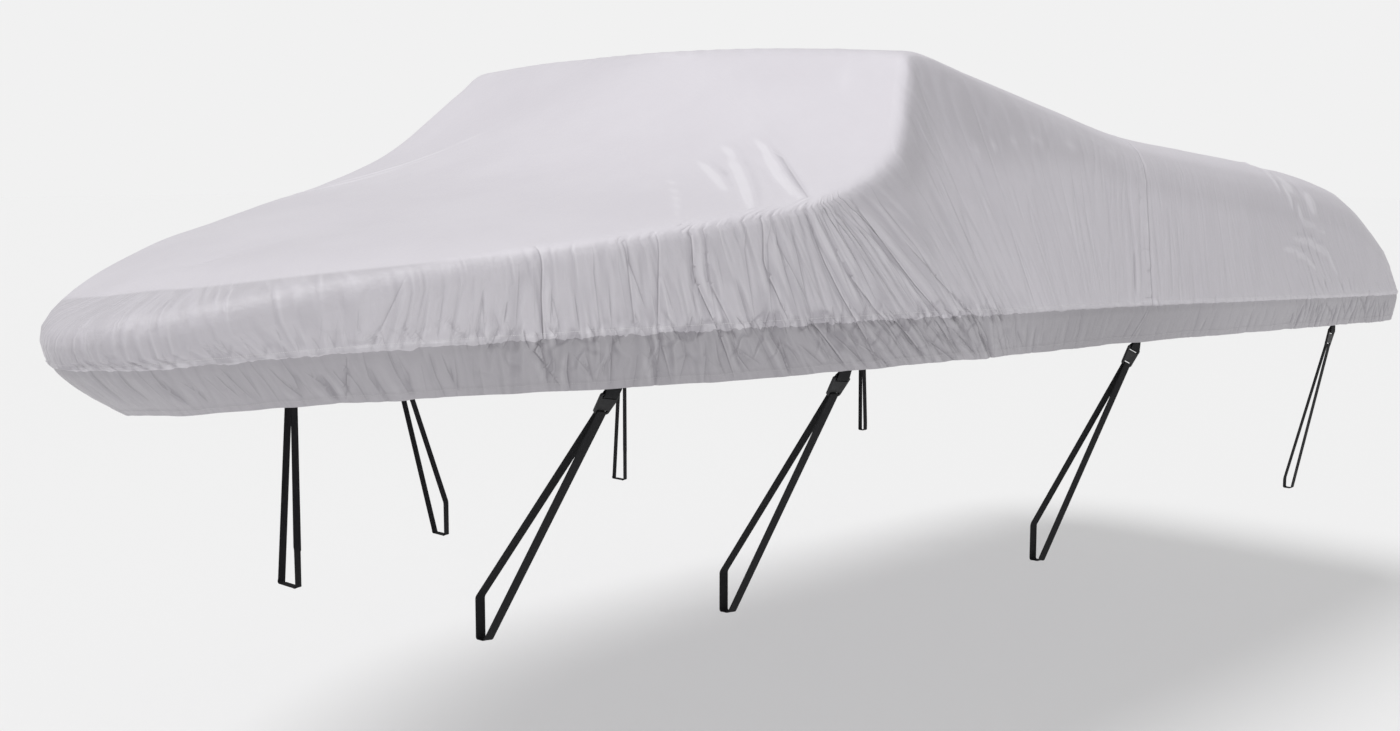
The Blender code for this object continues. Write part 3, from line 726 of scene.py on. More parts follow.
def webbingFinish():
    material, tree, shader = newFinish("black webbing", webbingLook["dark"], *webbingLook["shine"])
    uv = coordinates(tree, "UV")
    across, along = splitUp(tree, uv)
    # slanting picks that turn about from rib to rib, as in herringbone webbing
    ribTurn = times(tree, across, 2 * math.pi / webbingLook["rib"])
    zigzag = calc(tree, "ABSOLUTE", calc(tree, "SINE", times(tree, ribTurn, 0.5)))
    pickTurn = times(tree, along, 2 * math.pi / webbingLook["pick"])
    pick = calc(tree, "SINE", calc(tree, "MULTIPLY_ADD", zigzag, webbingLook["slant"], pickTurn))
    height = calc(tree, "MULTIPLY_ADD", pick, 0.4, times(tree, calc(tree, "COSINE", ribTurn), 0.6))
    fuzz = spots(tree, uv, *webbingLook["fuzz"])
    shade = ramp(tree, calc(tree, "MULTIPLY_ADD", height, 0.35, fuzz), 0.2, 1.0)
    colour = blendColours(tree, shade, webbingLook["dark"], webbingLook["light"])
    plug(tree, colour, shader.inputs["Base Color"])
    plug(tree, ramp(tree, fuzz, 0.3, 0.7, *webbingLook["roughness"]), shader.inputs["Roughness"])
    plug(tree, raised(tree, height, *webbingLook["raise"]), shader.inputs["Normal"])
    return material


plasticLook = {
    "dark": (0.009, 0.009, 0.010),
    "worn": (0.026, 0.026, 0.028),
    "grain": ((1600, 1600, 1600), 2.0, 0.5),
    "grainRaise": (0.00006, 0.6),
    "scuffs": ((70, 70, 240), 5.0, 0.65),
    "shine": (0.42, 0.35),
    "roughness": (0.36, 0.55),
}


def plasticFinish():
    material, tree, shader = newFinish("black moulded plastic", plasticLook["dark"], *plasticLook["shine"])
    place = coordinates(tree, "Object")
    grain, scuffs = (spots(tree, place, *plasticLook[texture]) for texture in ("grain", "scuffs"))
    colour = blendColours(tree, ramp(tree, scuffs, 0.55, 0.75), plasticLook["dark"], plasticLook["worn"])
    plug(tree, colour, shader.inputs["Base Color"])
    plug(tree, ramp(tree, scuffs, 0.3, 0.7, *plasticLook["roughness"]), shader.inputs["Roughness"])
    plug(tree, raised(tree, grain, *plasticLook["grainRaise"]), shader.inputs["Normal"])
    return material


webbing, plastic = webbingFinish(), plasticFinish()


def addBox(place, size):
    deselectAll()
    bpy.ops.mesh.primitive_cube_add(size=1, location=place)
    box = bpy.context.object
    box.scale = size
    bpy.ops.object.transform_apply(location=True, rotation=True, scale=True)
    return box


# rounds the edges that run along one axis, 0 to 2, through the whole of that size
def roundEdges(piece, axis, size, width, segments):
    points = [corner.co.copy() for corner in piece.data.vertices]
    ends = [[points[index][axis] for index in edge.vertices] for edge in piece.data.edges]
    pickParts(piece, "EDGE", [abs(first - second) > size / 2 for first, second in ends])
    bpy.ops.mesh.bevel(offset=width, offset_type="OFFSET", segments=segments)
    bpy.ops.object.mode_set(mode="OBJECT")


def useBox(piece, operation, box):
    applyModifier(piece, "BOOLEAN", object=box, operation=operation)
    bpy.data.objects.remove(box)


def cutBox(piece, place, size, corner):
    cutter = addBox(place, size)
    roundEdges(cutter, 2, size[2], corner, 3)
    useBox(piece, "DIFFERENCE", cutter)


def addRib(piece, place, size):
    rib = addBox(place, size)
    roundEdges(rib, 0, size[0], buckleSizes["ribs"]["round"], 2)
    useBox(piece, "UNION", rib)


# one buckle, lying flat with its top bar at the middle: X across, Y down it, Z out of its face
def makeBuckleMesh():
    height, bar, thick = buckleSizes["height"], buckleSizes["bar"], buckleSizes["thick"]
    slot, grip, ribs = buckleSizes["slot"], buckleSizes["grip"], buckleSizes["ribs"]
    top = -bar / 2
    buckle = addBox((0, top + height / 2, 0), (1, height, thick))
    for corner in buckle.data.vertices:
        width = buckleSizes["topWidth"] if corner.co.y < top + height / 2 else buckleSizes["footWidth"]
        corner.co.x = math.copysign(width / 2, corner.co.x)
    roundEdges(buckle, 2, thick, buckleSizes["corner"], 5)
    strapSlot = top + height - bar - slot["high"]
    for width, low in ((loopSizes["width"], bar / 2), (strapSizes["width"], strapSlot)):
        opening = (width + 2 * slot["spare"], slot["high"], 2 * thick)
        cutBox(buckle, (0, low + slot["high"] / 2, 0), opening, slot["corner"])
    # a shallow dished grip between the slots, with ribs across it
    low, high = bar / 2 + slot["high"] + bar, strapSlot - bar
    cutBox(buckle, (0, (low + high) / 2, thick / 2), (grip["wide"], high - low, grip["deep"]), grip["corner"])
    for index in range(ribs["count"]):
        y = low + (high - low) * (index + 0.5) / ribs["count"]
        addRib(buckle, (0, y, thick / 2 - ribs["size"][2] / 2), ribs["size"])
    applyModifier(buckle, "BEVEL", width=buckleSizes["edge"], segments=2, limit_method="ANGLE",
                  angle_limit=math.radians(35))
    smoothByAngle(buckle, 40)
    mesh = buckle.data.copy()
    bpy.data.objects.remove(buckle)
    mesh.materials.clear()
    mesh.materials.append(plastic)
    return mesh


def pathLength(points):
    return sum((second - first).length for first, second in zip(points[:-1], points[1:]))


def addStraps():
    buckleMesh = makeBuckleMesh()
    for strap in straps:
        label = f"{sideNames[strap['side']]}_{strap['number']}"
        across, _, down = strapFrame(strap)
        turn = Matrix((across, down, across.cross(down))).transposed().to_4x4()
        mesh = buckleMesh.copy()
        mesh.transform(Matrix.Translation(buckleTop(strap)) @ turn)
        buckle = addObject(f"buckleShape_{label}", mesh)
        finishPiece(buckle, f"buckle_{label}", "buckle")
        sizes = loopSizes["width"], loopSizes["thick"], webbing
        loop = makeWebbing(f"loopShape_{label}", *loopRoute(strap), *sizes)
        finishPiece(loop, f"loop_{label}", "webbing")
        route, broads = strapRoute(strap)
        sizes = strapSizes["width"], strapSizes["thick"], webbing
        band = makeWebbing(f"strapShape_{label}", route, broads, *sizes)
        finishPiece(band, f"strap_{label}", "webbing")
        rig.cord(band, exit=route[0], length=pathLength(route), diameter=strapSizes["width"], far_end="object",
                stiffness="limp", lay="taut", path=route, with_pieces=[buckle])


def finishPiece(piece, node, slot):
    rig.ride(piece, "root")
    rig.replaces(piece, node)
    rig.slot(piece, slot)


addStraps()
print("straps, loops and buckles made")


# folds; along is the distance from the bow round the gunwale seam, up is -1 hem, 0 seam, 1 ridge, 2 spine
# main folds: along at the low and high end, up at both, width and depth; a negative depth swells
mainFolds = {
    port: (
        (0.66, 0.64, -0.95, 0.00, 0.030, 0.005),
        (1.10, 1.07, -0.95, 1.05, 0.035, 0.007),
        (1.35, 1.31, -0.95, 1.10, 0.035, 0.005),
        (1.51, 1.38, -0.95, 1.15, 0.040, 0.009),
        (1.63, 1.56, -0.80, 1.10, 0.040, 0.007),
        (1.92, 1.65, -0.95, 1.10, 0.050, 0.011),
        (1.62, 1.98, 0.95, 1.50, 0.050, 0.007),
        (2.24, 1.68, -0.90, 1.05, 0.045, 0.009),
        (2.22, 1.94, -0.90, 0.75, 0.040, 0.006),
        (2.50, 2.49, 0.00, 0.60, 0.050, 0.004),
        (4.06, 4.50, 1.15, 0.80, 0.080, 0.008),
        (4.10, 4.52, 0.80, 0.10, 0.080, 0.007),
    ),
    starboard: (
        (0.98, 0.94, -0.90, 1.05, 0.035, 0.006),
        (1.44, 1.36, -0.95, 1.10, 0.035, 0.008),
        (1.80, 1.62, -0.85, 1.10, 0.045, 0.008),
        (2.13, 1.74, -0.95, 1.10, 0.045, 0.010),
        (2.36, 1.86, -0.90, 0.90, 0.045, 0.007),
        (3.90, 4.34, 1.10, 0.30, 0.080, 0.008),
        (2.28, 2.28, 0.70, 1.60, 0.120, -0.014),
    ),
}
# sharp creases: width, depth and the places (along, up) that each runs through; a ridge has negative depth
creases = {
    port: (
        (0.0065, 0.0030, ((1.07, 1.08), (1.06, 0.50), (1.06, 0.00), (1.04, -0.23), (1.10, -0.90))),
        (0.0060, 0.0018, ((0.65, -0.10), (0.64, -0.94))),
        (0.0060, 0.0018, ((1.24, 1.05), (1.26, -0.05))),
        (0.0065, 0.0022, ((1.32, 1.05), (1.31, 0.00), (1.35, -0.95))),
        (0.0065, 0.0030, ((1.39, 1.10), (1.395, 0.55), (1.44, 0.06), (1.50, -0.95))),
        (0.0055, 0.0018, ((1.42, 1.04), (1.43, 0.50), (1.47, 0.10), (1.50, -0.50))),
        (0.0065, 0.0026, ((1.56, 1.05), (1.56, 0.60), (1.63, -0.10))),
        (0.0085, 0.0042, ((1.69, 1.04), (1.67, 0.95), (1.725, 0.50), (1.805, 0.0), (1.91, -0.95))),
        (0.0060, 0.0022, ((1.73, 1.00), (1.71, 0.90), (1.785, 0.40), (1.86, 0.08), (1.97, -0.60))),
        (0.0075, 0.0030, ((1.79, 0.97), (1.93, 0.45), (2.08, 0.02), (2.21, -0.90))),
        (0.0065, 0.0032, ((1.67, 0.05), (1.80, -0.90))),
        (0.0070, 0.0034, ((1.90, 0.04), (2.07, -0.92))),
        (0.0065, 0.0025, ((2.07, -0.08), (2.20, -0.90))),
        (0.0065, 0.0024, ((1.98, 0.50), (2.20, 0.02), (2.32, -0.88))),
        (0.0080, 0.0014, ((2.49, 0.36), (2.50, -0.05))),
        (0.0090, -0.0012, ((2.23, 0.61), (2.47, 0.65), (2.66, 0.81), (2.85, 0.91), (3.07, 0.96))),
        (0.0065, 0.0030, ((3.08, -0.05), (3.03, -0.96))),
        (0.0120, -0.0044, ((3.96, 1.14), (4.13, 0.99), (4.47, 0.90))),
        (0.0090, -0.0036, ((4.00, 1.02), (4.22, 0.84), (4.40, 0.76))),
        (0.0090, -0.0036, ((4.10, 0.62), (4.24, 0.64), (4.40, 0.50), (4.48, 0.24))),
        (0.0085, -0.0032, ((4.02, 0.52), (4.18, 0.46), (4.30, 0.30))),
        (0.0065, 0.0014, ((0.79, 0.98), (0.70, 0.00))),
        (0.0100, -0.0030, ((1.98, 1.54), (1.79, 1.355), (1.54, 1.00))),
        (0.0100, -0.0024, ((1.87, 1.55), (1.77, 1.41), (1.65, 1.25))),
        (0.0090, -0.0034, ((1.99, 1.44), (1.79, 1.23), (1.67, 0.99))),
        (0.0080, 0.0012, ((1.96, 1.37), (1.81, 1.21), (1.70, 1.04))),
        (0.0090, -0.0014, ((1.79, 1.57), (1.40, 1.11))),
        (0.0120, -0.0014, ((2.70, 1.86), (2.13, 1.25))),
    ),
    starboard: (
        (0.0065, 0.0028, ((0.94, 1.05), (0.96, 0.00), (0.99, -0.95))),
        (0.0070, 0.0030, ((1.35, 1.08), (1.36, 0.50), (1.40, 0.10), (1.45, -0.95))),
        (0.0060, 0.0020, ((1.16, 1.02), (1.18, 0.00), (1.20, -0.80))),
        (0.0070, 0.0034, ((1.63, 1.05), (1.62, 0.90), (1.72, 0.10), (1.81, -0.92))),
        (0.0085, 0.0040, ((1.74, 1.04), (1.90, 0.30), (2.08, -0.20), (2.14, -0.95))),
        (0.0065, 0.0028, ((1.86, 0.88), (2.10, 0.20), (2.30, -0.30), (2.37, -0.92))),
        (0.0060, 0.0026, ((2.02, 0.05), (2.20, -0.90))),
        (0.0100, -0.0026, ((1.93, 1.45), (1.74, 1.25), (1.62, 0.99))),
        (0.0100, -0.0022, ((2.02, 1.50), (1.86, 1.33), (1.70, 1.10))),
        (0.0090, -0.0013, ((2.30, 0.70), (2.60, 0.74), (2.90, 0.90))),
        (0.0120, -0.0020, ((3.88, 1.12), (4.10, 0.92), (4.36, 0.80))),
        (0.0090, -0.0015, ((4.06, 0.66), (4.26, 0.56), (4.38, 0.26))),
        (0.0070, 0.0014, ((3.50, 0.80), (3.62, 0.10))),
    ),
}
# runs of small folds on each side: along from and to, spacing, height of the low and high end over the seam,
# how much further aft the low end is, scatter of the lean, width, depth
gathers = (
    (0.05, 1.00, 0.030, -0.004, 0.060, 0.010, 0.20, 0.0050, 0.0012),
    (0.04, 0.92, 0.026, -0.140, 0.008, 0.000, 0.12, 0.0090, 0.0017),
    (0.88, 1.25, 0.020, -0.026, 0.034, 0.006, 0.50, 0.0048, 0.0024),
    (1.25, 2.40, 0.017, -0.030, 0.036, 0.010, 0.50, 0.0048, 0.0024),
    (1.02, 2.35, 0.038, -0.135, 0.010, 0.000, 0.20, 0.0060, 0.0024),
    (1.02, 2.35, 0.080, -0.110, -0.020, 0.010, 0.50, 0.0060, 0.0016),
    (2.35, 4.15, 0.048, -0.125, 0.004, 0.004, 0.10, 0.0075, 0.0019),
    (3.00, 4.15, 0.060, -0.030, 0.030, 0.002, 0.30, 0.0055, 0.0015),
    (4.10, 5.04, 0.022, -0.120, 0.006, 0.004, 0.14, 0.0058, 0.0030),
    (4.15, 4.95, 0.034, -0.080, 0.020, 0.000, 0.80, 0.0058, 0.0022),
    (4.10, 5.04, 0.040, 0.000, 0.090, 0.020, 0.25, 0.0060, 0.0014),
    (5.04, 6.13, 0.040, -0.120, 0.004, 0.000, 0.12, 0.0075, 0.0020),
    (5.04, 6.13, 0.055, 0.000, 0.080, 0.000, 0.20, 0.0085, 0.0013),
)
# long thin creases down each side that follow the pull of the cloth: along from and to at the seam,
# spacing, up at the low and high end, width, depth
streaks = (
    (0.05, 0.95, 0.026, 0.00, 0.80, 0.0050, 0.0010),
    (0.92, 2.36, 0.030, 0.00, 1.02, 0.0050, 0.0014),
    (2.36, 3.05, 0.042, 0.00, 0.85, 0.0070, 0.0010),
    (3.14, 4.10, 0.046, 0.00, 0.75, 0.0070, 0.0009),
    (4.10, 4.95, 0.050, 0.05, 0.90, 0.0065, 0.0011),
)
# pull lines of the cloth, at places along the seam: how far each runs aft from the ridge down to the seam and
# from the seam down to the hem, and how steeply it sets off aft from the ridge over the top
pullColumns = ("along", "side", "skirt", "top")
pullRows = (
    (0.0, 0.0, 0.0, 0.0),
    (0.15, 0.04, 0.04, 0.0),
    (0.5, 0.05, 0.05, 0.0),
    (0.75, -0.05, 0.04, 0.0),
    (1.0, 0.0, 0.01, 0.10),
    (1.3, 0.03, 0.03, 0.55),
    (1.6, 0.06, 0.09, 1.08),
    (1.85, 0.15, 0.15, 0.87),
    (2.1, 0.33, 0.15, 0.60),
    (2.35, 0.20, 0.09, 0.35),
    (2.5, 0.04, 0.02, 0.15),
    (2.9, -0.04, -0.02, 0.0),
    (3.05, 0.0, -0.04, 0.0),
    (3.15, 0.0, 0.0, 0.0),
    (3.6, 0.06, 0.0, 0.0),
    (4.2, 0.20, 0.01, 0.0),
    (5.0, 0.08, 0.01, 0.0),
    (6.1, 0.0, 0.0, 0.0),
)
pulls = dict(zip(pullColumns, zip(*pullRows)))
# how crumpled the cloth is, from 0 to 1
crumpling = {
    "along": (0.0, 0.8, 1.0, 1.4, 2.2, 2.5, 3.1, 4.0, 4.3, 4.9, 5.2, 6.2),
    "share": (0.85, 0.65, 0.8, 1.0, 1.0, 0.38, 0.26, 0.20, 0.32, 0.32, 0.45, 0.45),
    "litTopLoss": 0.95,  # share of it that the smooth lit top, above the painted shade's edge, lacks
    "litTopEdge": (-0.08, 0.06),  # up from the painted shade's edge over which it goes
    "bowSkirt": {"end": 0.9, "share": 0.6},  # the skirt is smoother round the bow
}
# the sides are painted darker than the top as painted shade, where the light falls from above: at these places along
# each side, how far up the painted shade goes
shadeEdges = {
    port: {"along": (0.0, 0.2, 0.6, 0.9, 1.1, 6.2), "up": (1.34, 1.34, 1.17, 1.04, 1.0, 1.0)},
    starboard: {"along": (0.0, 0.2, 0.35, 6.2), "up": (1.34, 1.12, 1.0, 1.0)},
}
# how dark the painted shade on the side is by that edge and lower down, and how far up one starts to turn into the
# other
sideShade = {
    "along": (0.0, 0.25, 0.5, 0.8, 1.0, 1.3, 1.7, 2.1, 2.5, 2.9, 6.2),
    "byEdge": (1.0, 1.0, 1.0, 0.9, 0.6, 0.4, 0.35, 0.6, 0.8, 0.6, 0.3),
    "below": (0.8, 0.05, 0.0, 0.0, 0.0, 0.20, 0.0, 0.0, 0.0, 0.05, 0.20),
    "turn": (0.85, 0.85, 0.85, 0.85, 0.85, 0.85, 0.85, 0.55, 0.52, 0.75, 0.8),
    "turnWide": 0.2,
    "seamEdge": (-0.02, 0.2),  # up over which it starts above the seam
}
# and how dark the painted shade on the skirt is at places along
skirtShade = {
    "along": (0.0, 0.8, 1.2, 1.75, 1.95, 2.35, 2.7, 3.1, 3.6, 6.2),
    "share": (0.0, 0.0, 0.25, 0.3, 0.0, 0.0, 0.85, 0.85, 0.2, 0.1),
}
foldSizes = {
    "mainShare": 0.45,  # the main folds stand this much of their depth over the smooth surface
    "seamHold": 0.2,  # a main fold grows from nothing over this much of up, on both sides of the seam
    "creaseAtSeam": 0.65,  # share of a crease's depth where it crosses the seam
    "seamReach": 0.010,  # and how far from the seam it is all there
    "ridgeCalm": {"share": 0.45, "ups": (0.82, 1.0)},  # share of the small creases lost by the ridge
    "topCalm": {"share": 0.45, "ups": (1.05, 1.25)},  # and after it on the top
    "spineFade": (1.75, 2.0),  # up over which folds die out toward the spine
    "middleFade": 0.06,  # and how near the bow tip and the middle of the stern
    "smallSharp": 0.55,  # how sharp the small creases are beside the others
    "skirtHigh": 0.135,  # the skirt's height, over which its small folds lean
}
creaseShape = {
    "ends": 0.75,  # its width at its ends, and how much is added at its middle
    "belly": 0.5,
    "valley": 1.6,  # a lower figure makes a sharper bottom
    "shoulders": (0.42, 0.26),  # the cloth swells this share of the depth on either side
    "shoulderOff": 1.9,  # this many widths from the bottom
    "endFade": 0.4,  # a lower figure keeps it deep nearer its ends
    "sharpDepth": 0.003,  # a crease this deep is sharp at its bottom
    "sharpReach": (0.0035, 0.0080),  # and its sharpness goes between these distances from it
}
# small folds across the cross seam
pucker = {"spacing": 0.030, "reach": 0.045, "width": 0.0065, "depth": 0.0022, "tilt": 0.010}
# the gunwale seam's edge
bead = {"height": 0.0024, "width": 0.0048, "middle": 0.003, "wander": 0.003}
# the uneven curve that the bead and the upper cloth's lip follow: waves, each shorter than the last by ratio
wanderSizes = {"waves": 14, "ratio": 0.72, "power": 0.35, "gain": 1.3}
softWaves = {
    "count": 26,
    "height": 0.0009,
    "lengths": (0.55, 0.075),
    "ups": (0.75, 1.15),  # they die out between these ups
    "topUps": (1.0, 1.2),  # and the top's sag starts between these
    "topSag": 0.0016,
}


def tableAt(table, column, places):
    return np.interp(places, table["along"], table[column])


# the pull line that starts at each place along the seam, followed to up; it dies out toward the spine
def followPull(alongs, ups):
    overTop = np.maximum(ups - 1, 0)
    reach = np.where(ups > 1, 1 - (ups - 1) ** 2, np.maximum(ups, 0))
    aft = tableAt(pulls, "skirt", alongs) * np.maximum(-ups, 0)
    aft = aft + tableAt(pulls, "top", alongs) * (1 - overTop / 2) * overTop
    return alongs - tableAt(pulls, "side", alongs) * reach + aft


# presses one crease into a sheet of (columns, rows): its outward heights, how far each point is from the
# bottom of the nearest crease, minus on one side of it, and how sharp that crease is there
def pressCrease(sheet, places, heights, points, width, depth):
    points = np.asarray(points, float)
    margin = 4 * width
    low, high = points[:, 0].min() - margin, points[:, 0].max() + margin
    within = (places.max(axis=1) > low) & (places.min(axis=1) < high)
    if not within.any():
        return
    first, last = np.nonzero(within)[0][[0, -1]] + (0, 1)
    x, y = places[first:last], heights[first:last]
    runs = np.diff(points, axis=0)
    runLengths = np.linalg.norm(runs, axis=1)
    total, travelled = runLengths.sum(), 0.0
    nearest, share, across = np.full(x.shape, np.inf), np.zeros(x.shape), np.zeros(x.shape)
    for start, run, runLength in zip(points[:-1], runs, runLengths):
        part = np.clip(((x - start[0]) * run[0] + (y - start[1]) * run[1]) / runLength**2, 0, 1)
        offX, offY = x - start[0] - run[0] * part, y - start[1] - run[1] * part
        distance = np.hypot(offX, offY)
        closer = distance < nearest
        nearest = np.where(closer, distance, nearest)
        across = np.where(closer, distance * np.sign(run[0] * offY - run[1] * offX), across)
        share = np.where(closer, (travelled + part * runLength) / total, share)
        travelled += runLength
    q = across / (width * (creaseShape["ends"] + creaseShape["belly"] * np.sin(math.pi * share)))
    trough = np.exp(-np.abs(q) ** creaseShape["valley"])
    (before, after), off = creaseShape["shoulders"], creaseShape["shoulderOff"]
    shoulders = before * np.exp(-((q - off) ** 2)) + after * np.exp(-((q + off) ** 2))
    fade = np.sin(math.pi * np.clip(share, 0, 1)) ** creaseShape["endFade"]
    sheet["relief"][first:last] -= depth * fade * (trough - shoulders)
    closest = nearest < np.abs(sheet["off"][first:last])
    deep = min(max(depth, 0) / creaseShape["sharpDepth"], 1)
    sharp = deep * fade * (1 - smoothStep(*creaseShape["sharpReach"], nearest))
    sheet["off"][first:last] = np.where(closest, across, sheet["off"][first:last])
    sheet["sharp"][first:last] = np.where(closest, sharp, sheet["sharp"][first:last])


def mainFoldRelief(side, places, ups):
    relief = np.zeros(ups.shape)
    held = np.clip(np.abs(ups) / foldSizes["seamHold"], 0, 1)
    for lowAlong, highAlong, lowUp, highUp, width, depth in mainFolds[side]:
        part = np.clip((ups - lowUp) / (highUp - lowUp), 0, 1)
        middle = lowAlong + (highAlong - lowAlong) * part
        strength = held * (1 - np.abs(2 * part - 1) ** 3)
        relief -= depth * strength * np.exp(-(((places - middle) / width) ** 2))
    return relief


# long soft waves, the same all round each time, and a faint sag of the top
def waveRelief(side, places, heights, ups):
    chance = np.random.default_rng(7)
    relief = np.zeros(heights.shape)
    for waveLength in np.geomspace(*softWaves["lengths"], softWaves["count"]):
        turns = round(2 * halfRound / (waveLength * chance.uniform(0.9, 1.1)))
        lean, start = chance.uniform(-0.25, 0.35), chance.uniform(0, 2 * math.pi)
        swell = chance.uniform(0.4, 1.0)
        slowTurns, slowStart = int(chance.integers(2, 7)), chance.uniform(0, 2 * math.pi)
        phase = math.pi / halfRound * side * (places + lean * heights)
        strength = 0.5 + 0.5 * np.sin(slowTurns * phase + slowStart)
        relief += swell * (waveLength / 0.3) ** 0.75 * strength * np.sin(turns * phase + start)
    fade, onTop = 1 - smoothStep(*softWaves["ups"], ups), smoothStep(*softWaves["topUps"], ups)
    top = np.cos(2.3 * places + 1.0) * np.cos(5 * (2 - ups)) + 0.6 * np.cos(5.1 * places)
    return softWaves["height"] * relief * fade + softWaves["topSag"] * top * onTop


# uneven places from start to end; what is drawn for each place comes before the draw for the next
def unevenPlaces(chance, start, end, spacing, steps):
    place = start + spacing * chance.uniform(0.2, 0.8)
    while place < end:
        yield place
        place += spacing * chance.uniform(*steps)


def onCloth(alongs, ups):
    return np.stack((alongs, heightAt(alongs, ups)), axis=1)


def gatherCreases(side):
    for row, (start, end, spacing, low, high, shift, scatter, width, depth) in enumerate(gathers):
        chance = np.random.default_rng(100 + 2 * row + (side == starboard))
        for place in unevenPlaces(chance, start, end, spacing, (0.45, 1.6)):
            lowEnd = low + (high - low) * chance.uniform(0, 0.22)
            highEnd = high - (high - low) * chance.uniform(0, 0.45)
            lean = shift * chance.uniform(0.4, 1.6) + chance.normal(0, scatter) * (highEnd - lowEnd)
            lean += tableAt(pulls, "skirt", place) * max(0.0, -lowEnd) / foldSizes["skirtHigh"]
            bend = chance.normal(0, 0.04) * (highEnd - lowEnd)
            middle = (place + lean * 0.5 + bend, (lowEnd + highEnd) / 2)
            points = ((place + lean, lowEnd), middle, (place, highEnd))
            yield points, width * chance.uniform(0.7, 1.4), depth * chance.uniform(0.3, 1.5)


def streakCreases(side):
    for row, (start, end, spacing, low, high, width, depth) in enumerate(streaks):
        chance = np.random.default_rng(300 + 2 * row + (side == starboard))
        for place in unevenPlaces(chance, start, end, spacing, (0.4, 1.6)):
            lowUp = low + (high - low) * max(0.0, chance.uniform(-0.5, 0.5))
            highUp = high - (high - low) * max(0.0, chance.uniform(-0.4, 0.6))
            if highUp - lowUp > 0.15:
                ups = np.linspace(lowUp, highUp, 5)
                places = followPull(np.full(5, place), ups) + chance.normal(0, 0.020) * (ups - lowUp)
                yield onCloth(places, ups), width * chance.uniform(0.7, 1.3), depth * chance.uniform(0.2, 1.7)


def puckerCreases(side):
    chance = np.random.default_rng(40 + side)
    seamTop = float(heightAt(np.array([crossSeam]), np.array([2.0]))[0])
    height = 0.02
    while height < seamTop:
        near, far = pucker["reach"] * chance.uniform(0.1, 0.35), pucker["reach"] * chance.uniform(0.5, 1.3)
        points = ((crossSeam - far, height + chance.normal(0, pucker["tilt"])), (crossSeam + near, height))
        yield points, pucker["width"] * chance.uniform(0.7, 1.4), pucker["depth"] * chance.uniform(0.2, 1.3)
        height += pucker["spacing"] * chance.uniform(0.5, 1.7)


def handCreases(side):
    for width, depth, places in creases[side]:
        yield onCloth(*np.array(places).T), width, depth


def allSmall(side):
    return [*gatherCreases(side), *streakCreases(side), *puckerCreases(side)]


smallCreases = {side: allSmall(side) for side in (port, starboard)}


# a wandering value for each place along, about 0 and mostly within 1 of it
def wander(alongs, seed, longest):
    chance = np.random.default_rng(seed)
    total = np.zeros(alongs.shape)
    for waveLength in longest * wanderSizes["ratio"] ** np.arange(wanderSizes["waves"]):
        swell = (waveLength / longest) ** wanderSizes["power"]
        total += np.sin(2 * math.pi * (alongs / waveLength + chance.uniform())) * swell
    return total / math.sqrt(wanderSizes["waves"] / 2) * wanderSizes["gain"]


# the gunwale seam's puckered edge stands up as an uneven bead
def beadRelief(side, places, heights):
    crumpled = tableAt(crumpling, "share", places)
    middle = bead["middle"] + bead["wander"] * crumpled * wander(places, 60 + side, 0.21)
    tall = bead["height"] * np.clip(0.55 + 0.45 * crumpled * wander(places, 80 + side, 0.13), 0.1, 1.4)
    return tall * np.exp(-(((heights - middle) / bead["width"]) ** 2))


# how far the cloth stands out from the smooth surface, and its creases
def reliefAt(side, places, heights, ups):
    shape = heights.shape
    sheet = {"relief": np.zeros(shape), "off": np.full(shape, 1.0), "sharp": np.zeros(shape)}
    for points, width, depth in smallCreases[side]:
        pressCrease(sheet, places, heights, points, width, depth)
    ridge, top = foldSizes["ridgeCalm"], foldSizes["topCalm"]
    calm = ridge["share"] * smoothStep(*ridge["ups"], ups) + top["share"] * smoothStep(*top["ups"], ups)
    sheet["relief"] *= 1 - calm
    sheet["sharp"] *= (1 - calm) * foldSizes["smallSharp"]
    for points, width, depth in handCreases(side):
        pressCrease(sheet, places, heights, points, width, depth)
    atSeam, fade = foldSizes["creaseAtSeam"], foldSizes["middleFade"]
    tied = smoothStep(0, fade, places) * smoothStep(0, fade, halfRound - places)
    tied = tied * (1 - smoothStep(*foldSizes["spineFade"], ups))
    offSeam = smoothStep(0, foldSizes["seamReach"], np.abs(heights))
    pressed = (sheet["relief"] * (atSeam + (1 - atSeam) * offSeam) + beadRelief(side, places, heights)) * tied
    broad = foldSizes["mainShare"] * mainFoldRelief(side, places, ups) * tied
    broad = broad + waveRelief(side, places, heights, ups)
    # the finish takes lengths in millimetres
    folded = {"press": pressed * 1000, "off": sheet["off"] * 1000, "sharp": sheet["sharp"] * tied}
    return pressed + broad, folded


# cloth pieces
clothSizes = {
    "thick": 0.002,
    "lip": 0.004,  # the upper cloth laps this far over the skirt
    "lipWander": {"share": 0.9, "longest": 0.17, "least": 0.35, "most": 2.3},
    "lap": 0.009,  # and the front panel this far over the rear one
    "lapGap": 0.0004,
    "lapFade": 0.018,
    "edgeRise": 0.0006,  # the front panel's folded edge at the cross seam
    "edgeFade": (0.006, 0.014),
    "hem": 0.022,
    "hemStep": 0.0007,
    "hemEdge": 0.0016,
    "skirtStart": 0.0012,  # the skirt starts this far below the seam
    "turn": (0.0022, 0.0048),  # rows this far above the seam
    "sideRows": 18,
    "sideSpread": 1.45,  # the rows stand closer together by the seam
    "rollRows": 5,
    "topRows": 12,
    "skirtRows": 15,
    "sewReach": 0.0004,  # points of the two sides this near each other on the middle line become one
}
# columns of the cloth are this far apart up to each of these places along
columnSteps = ((0.90, 0.0072), (2.42, 0.0041), (4.02, 0.0078), (5.04, 0.0050), (halfRound, 0.0078))
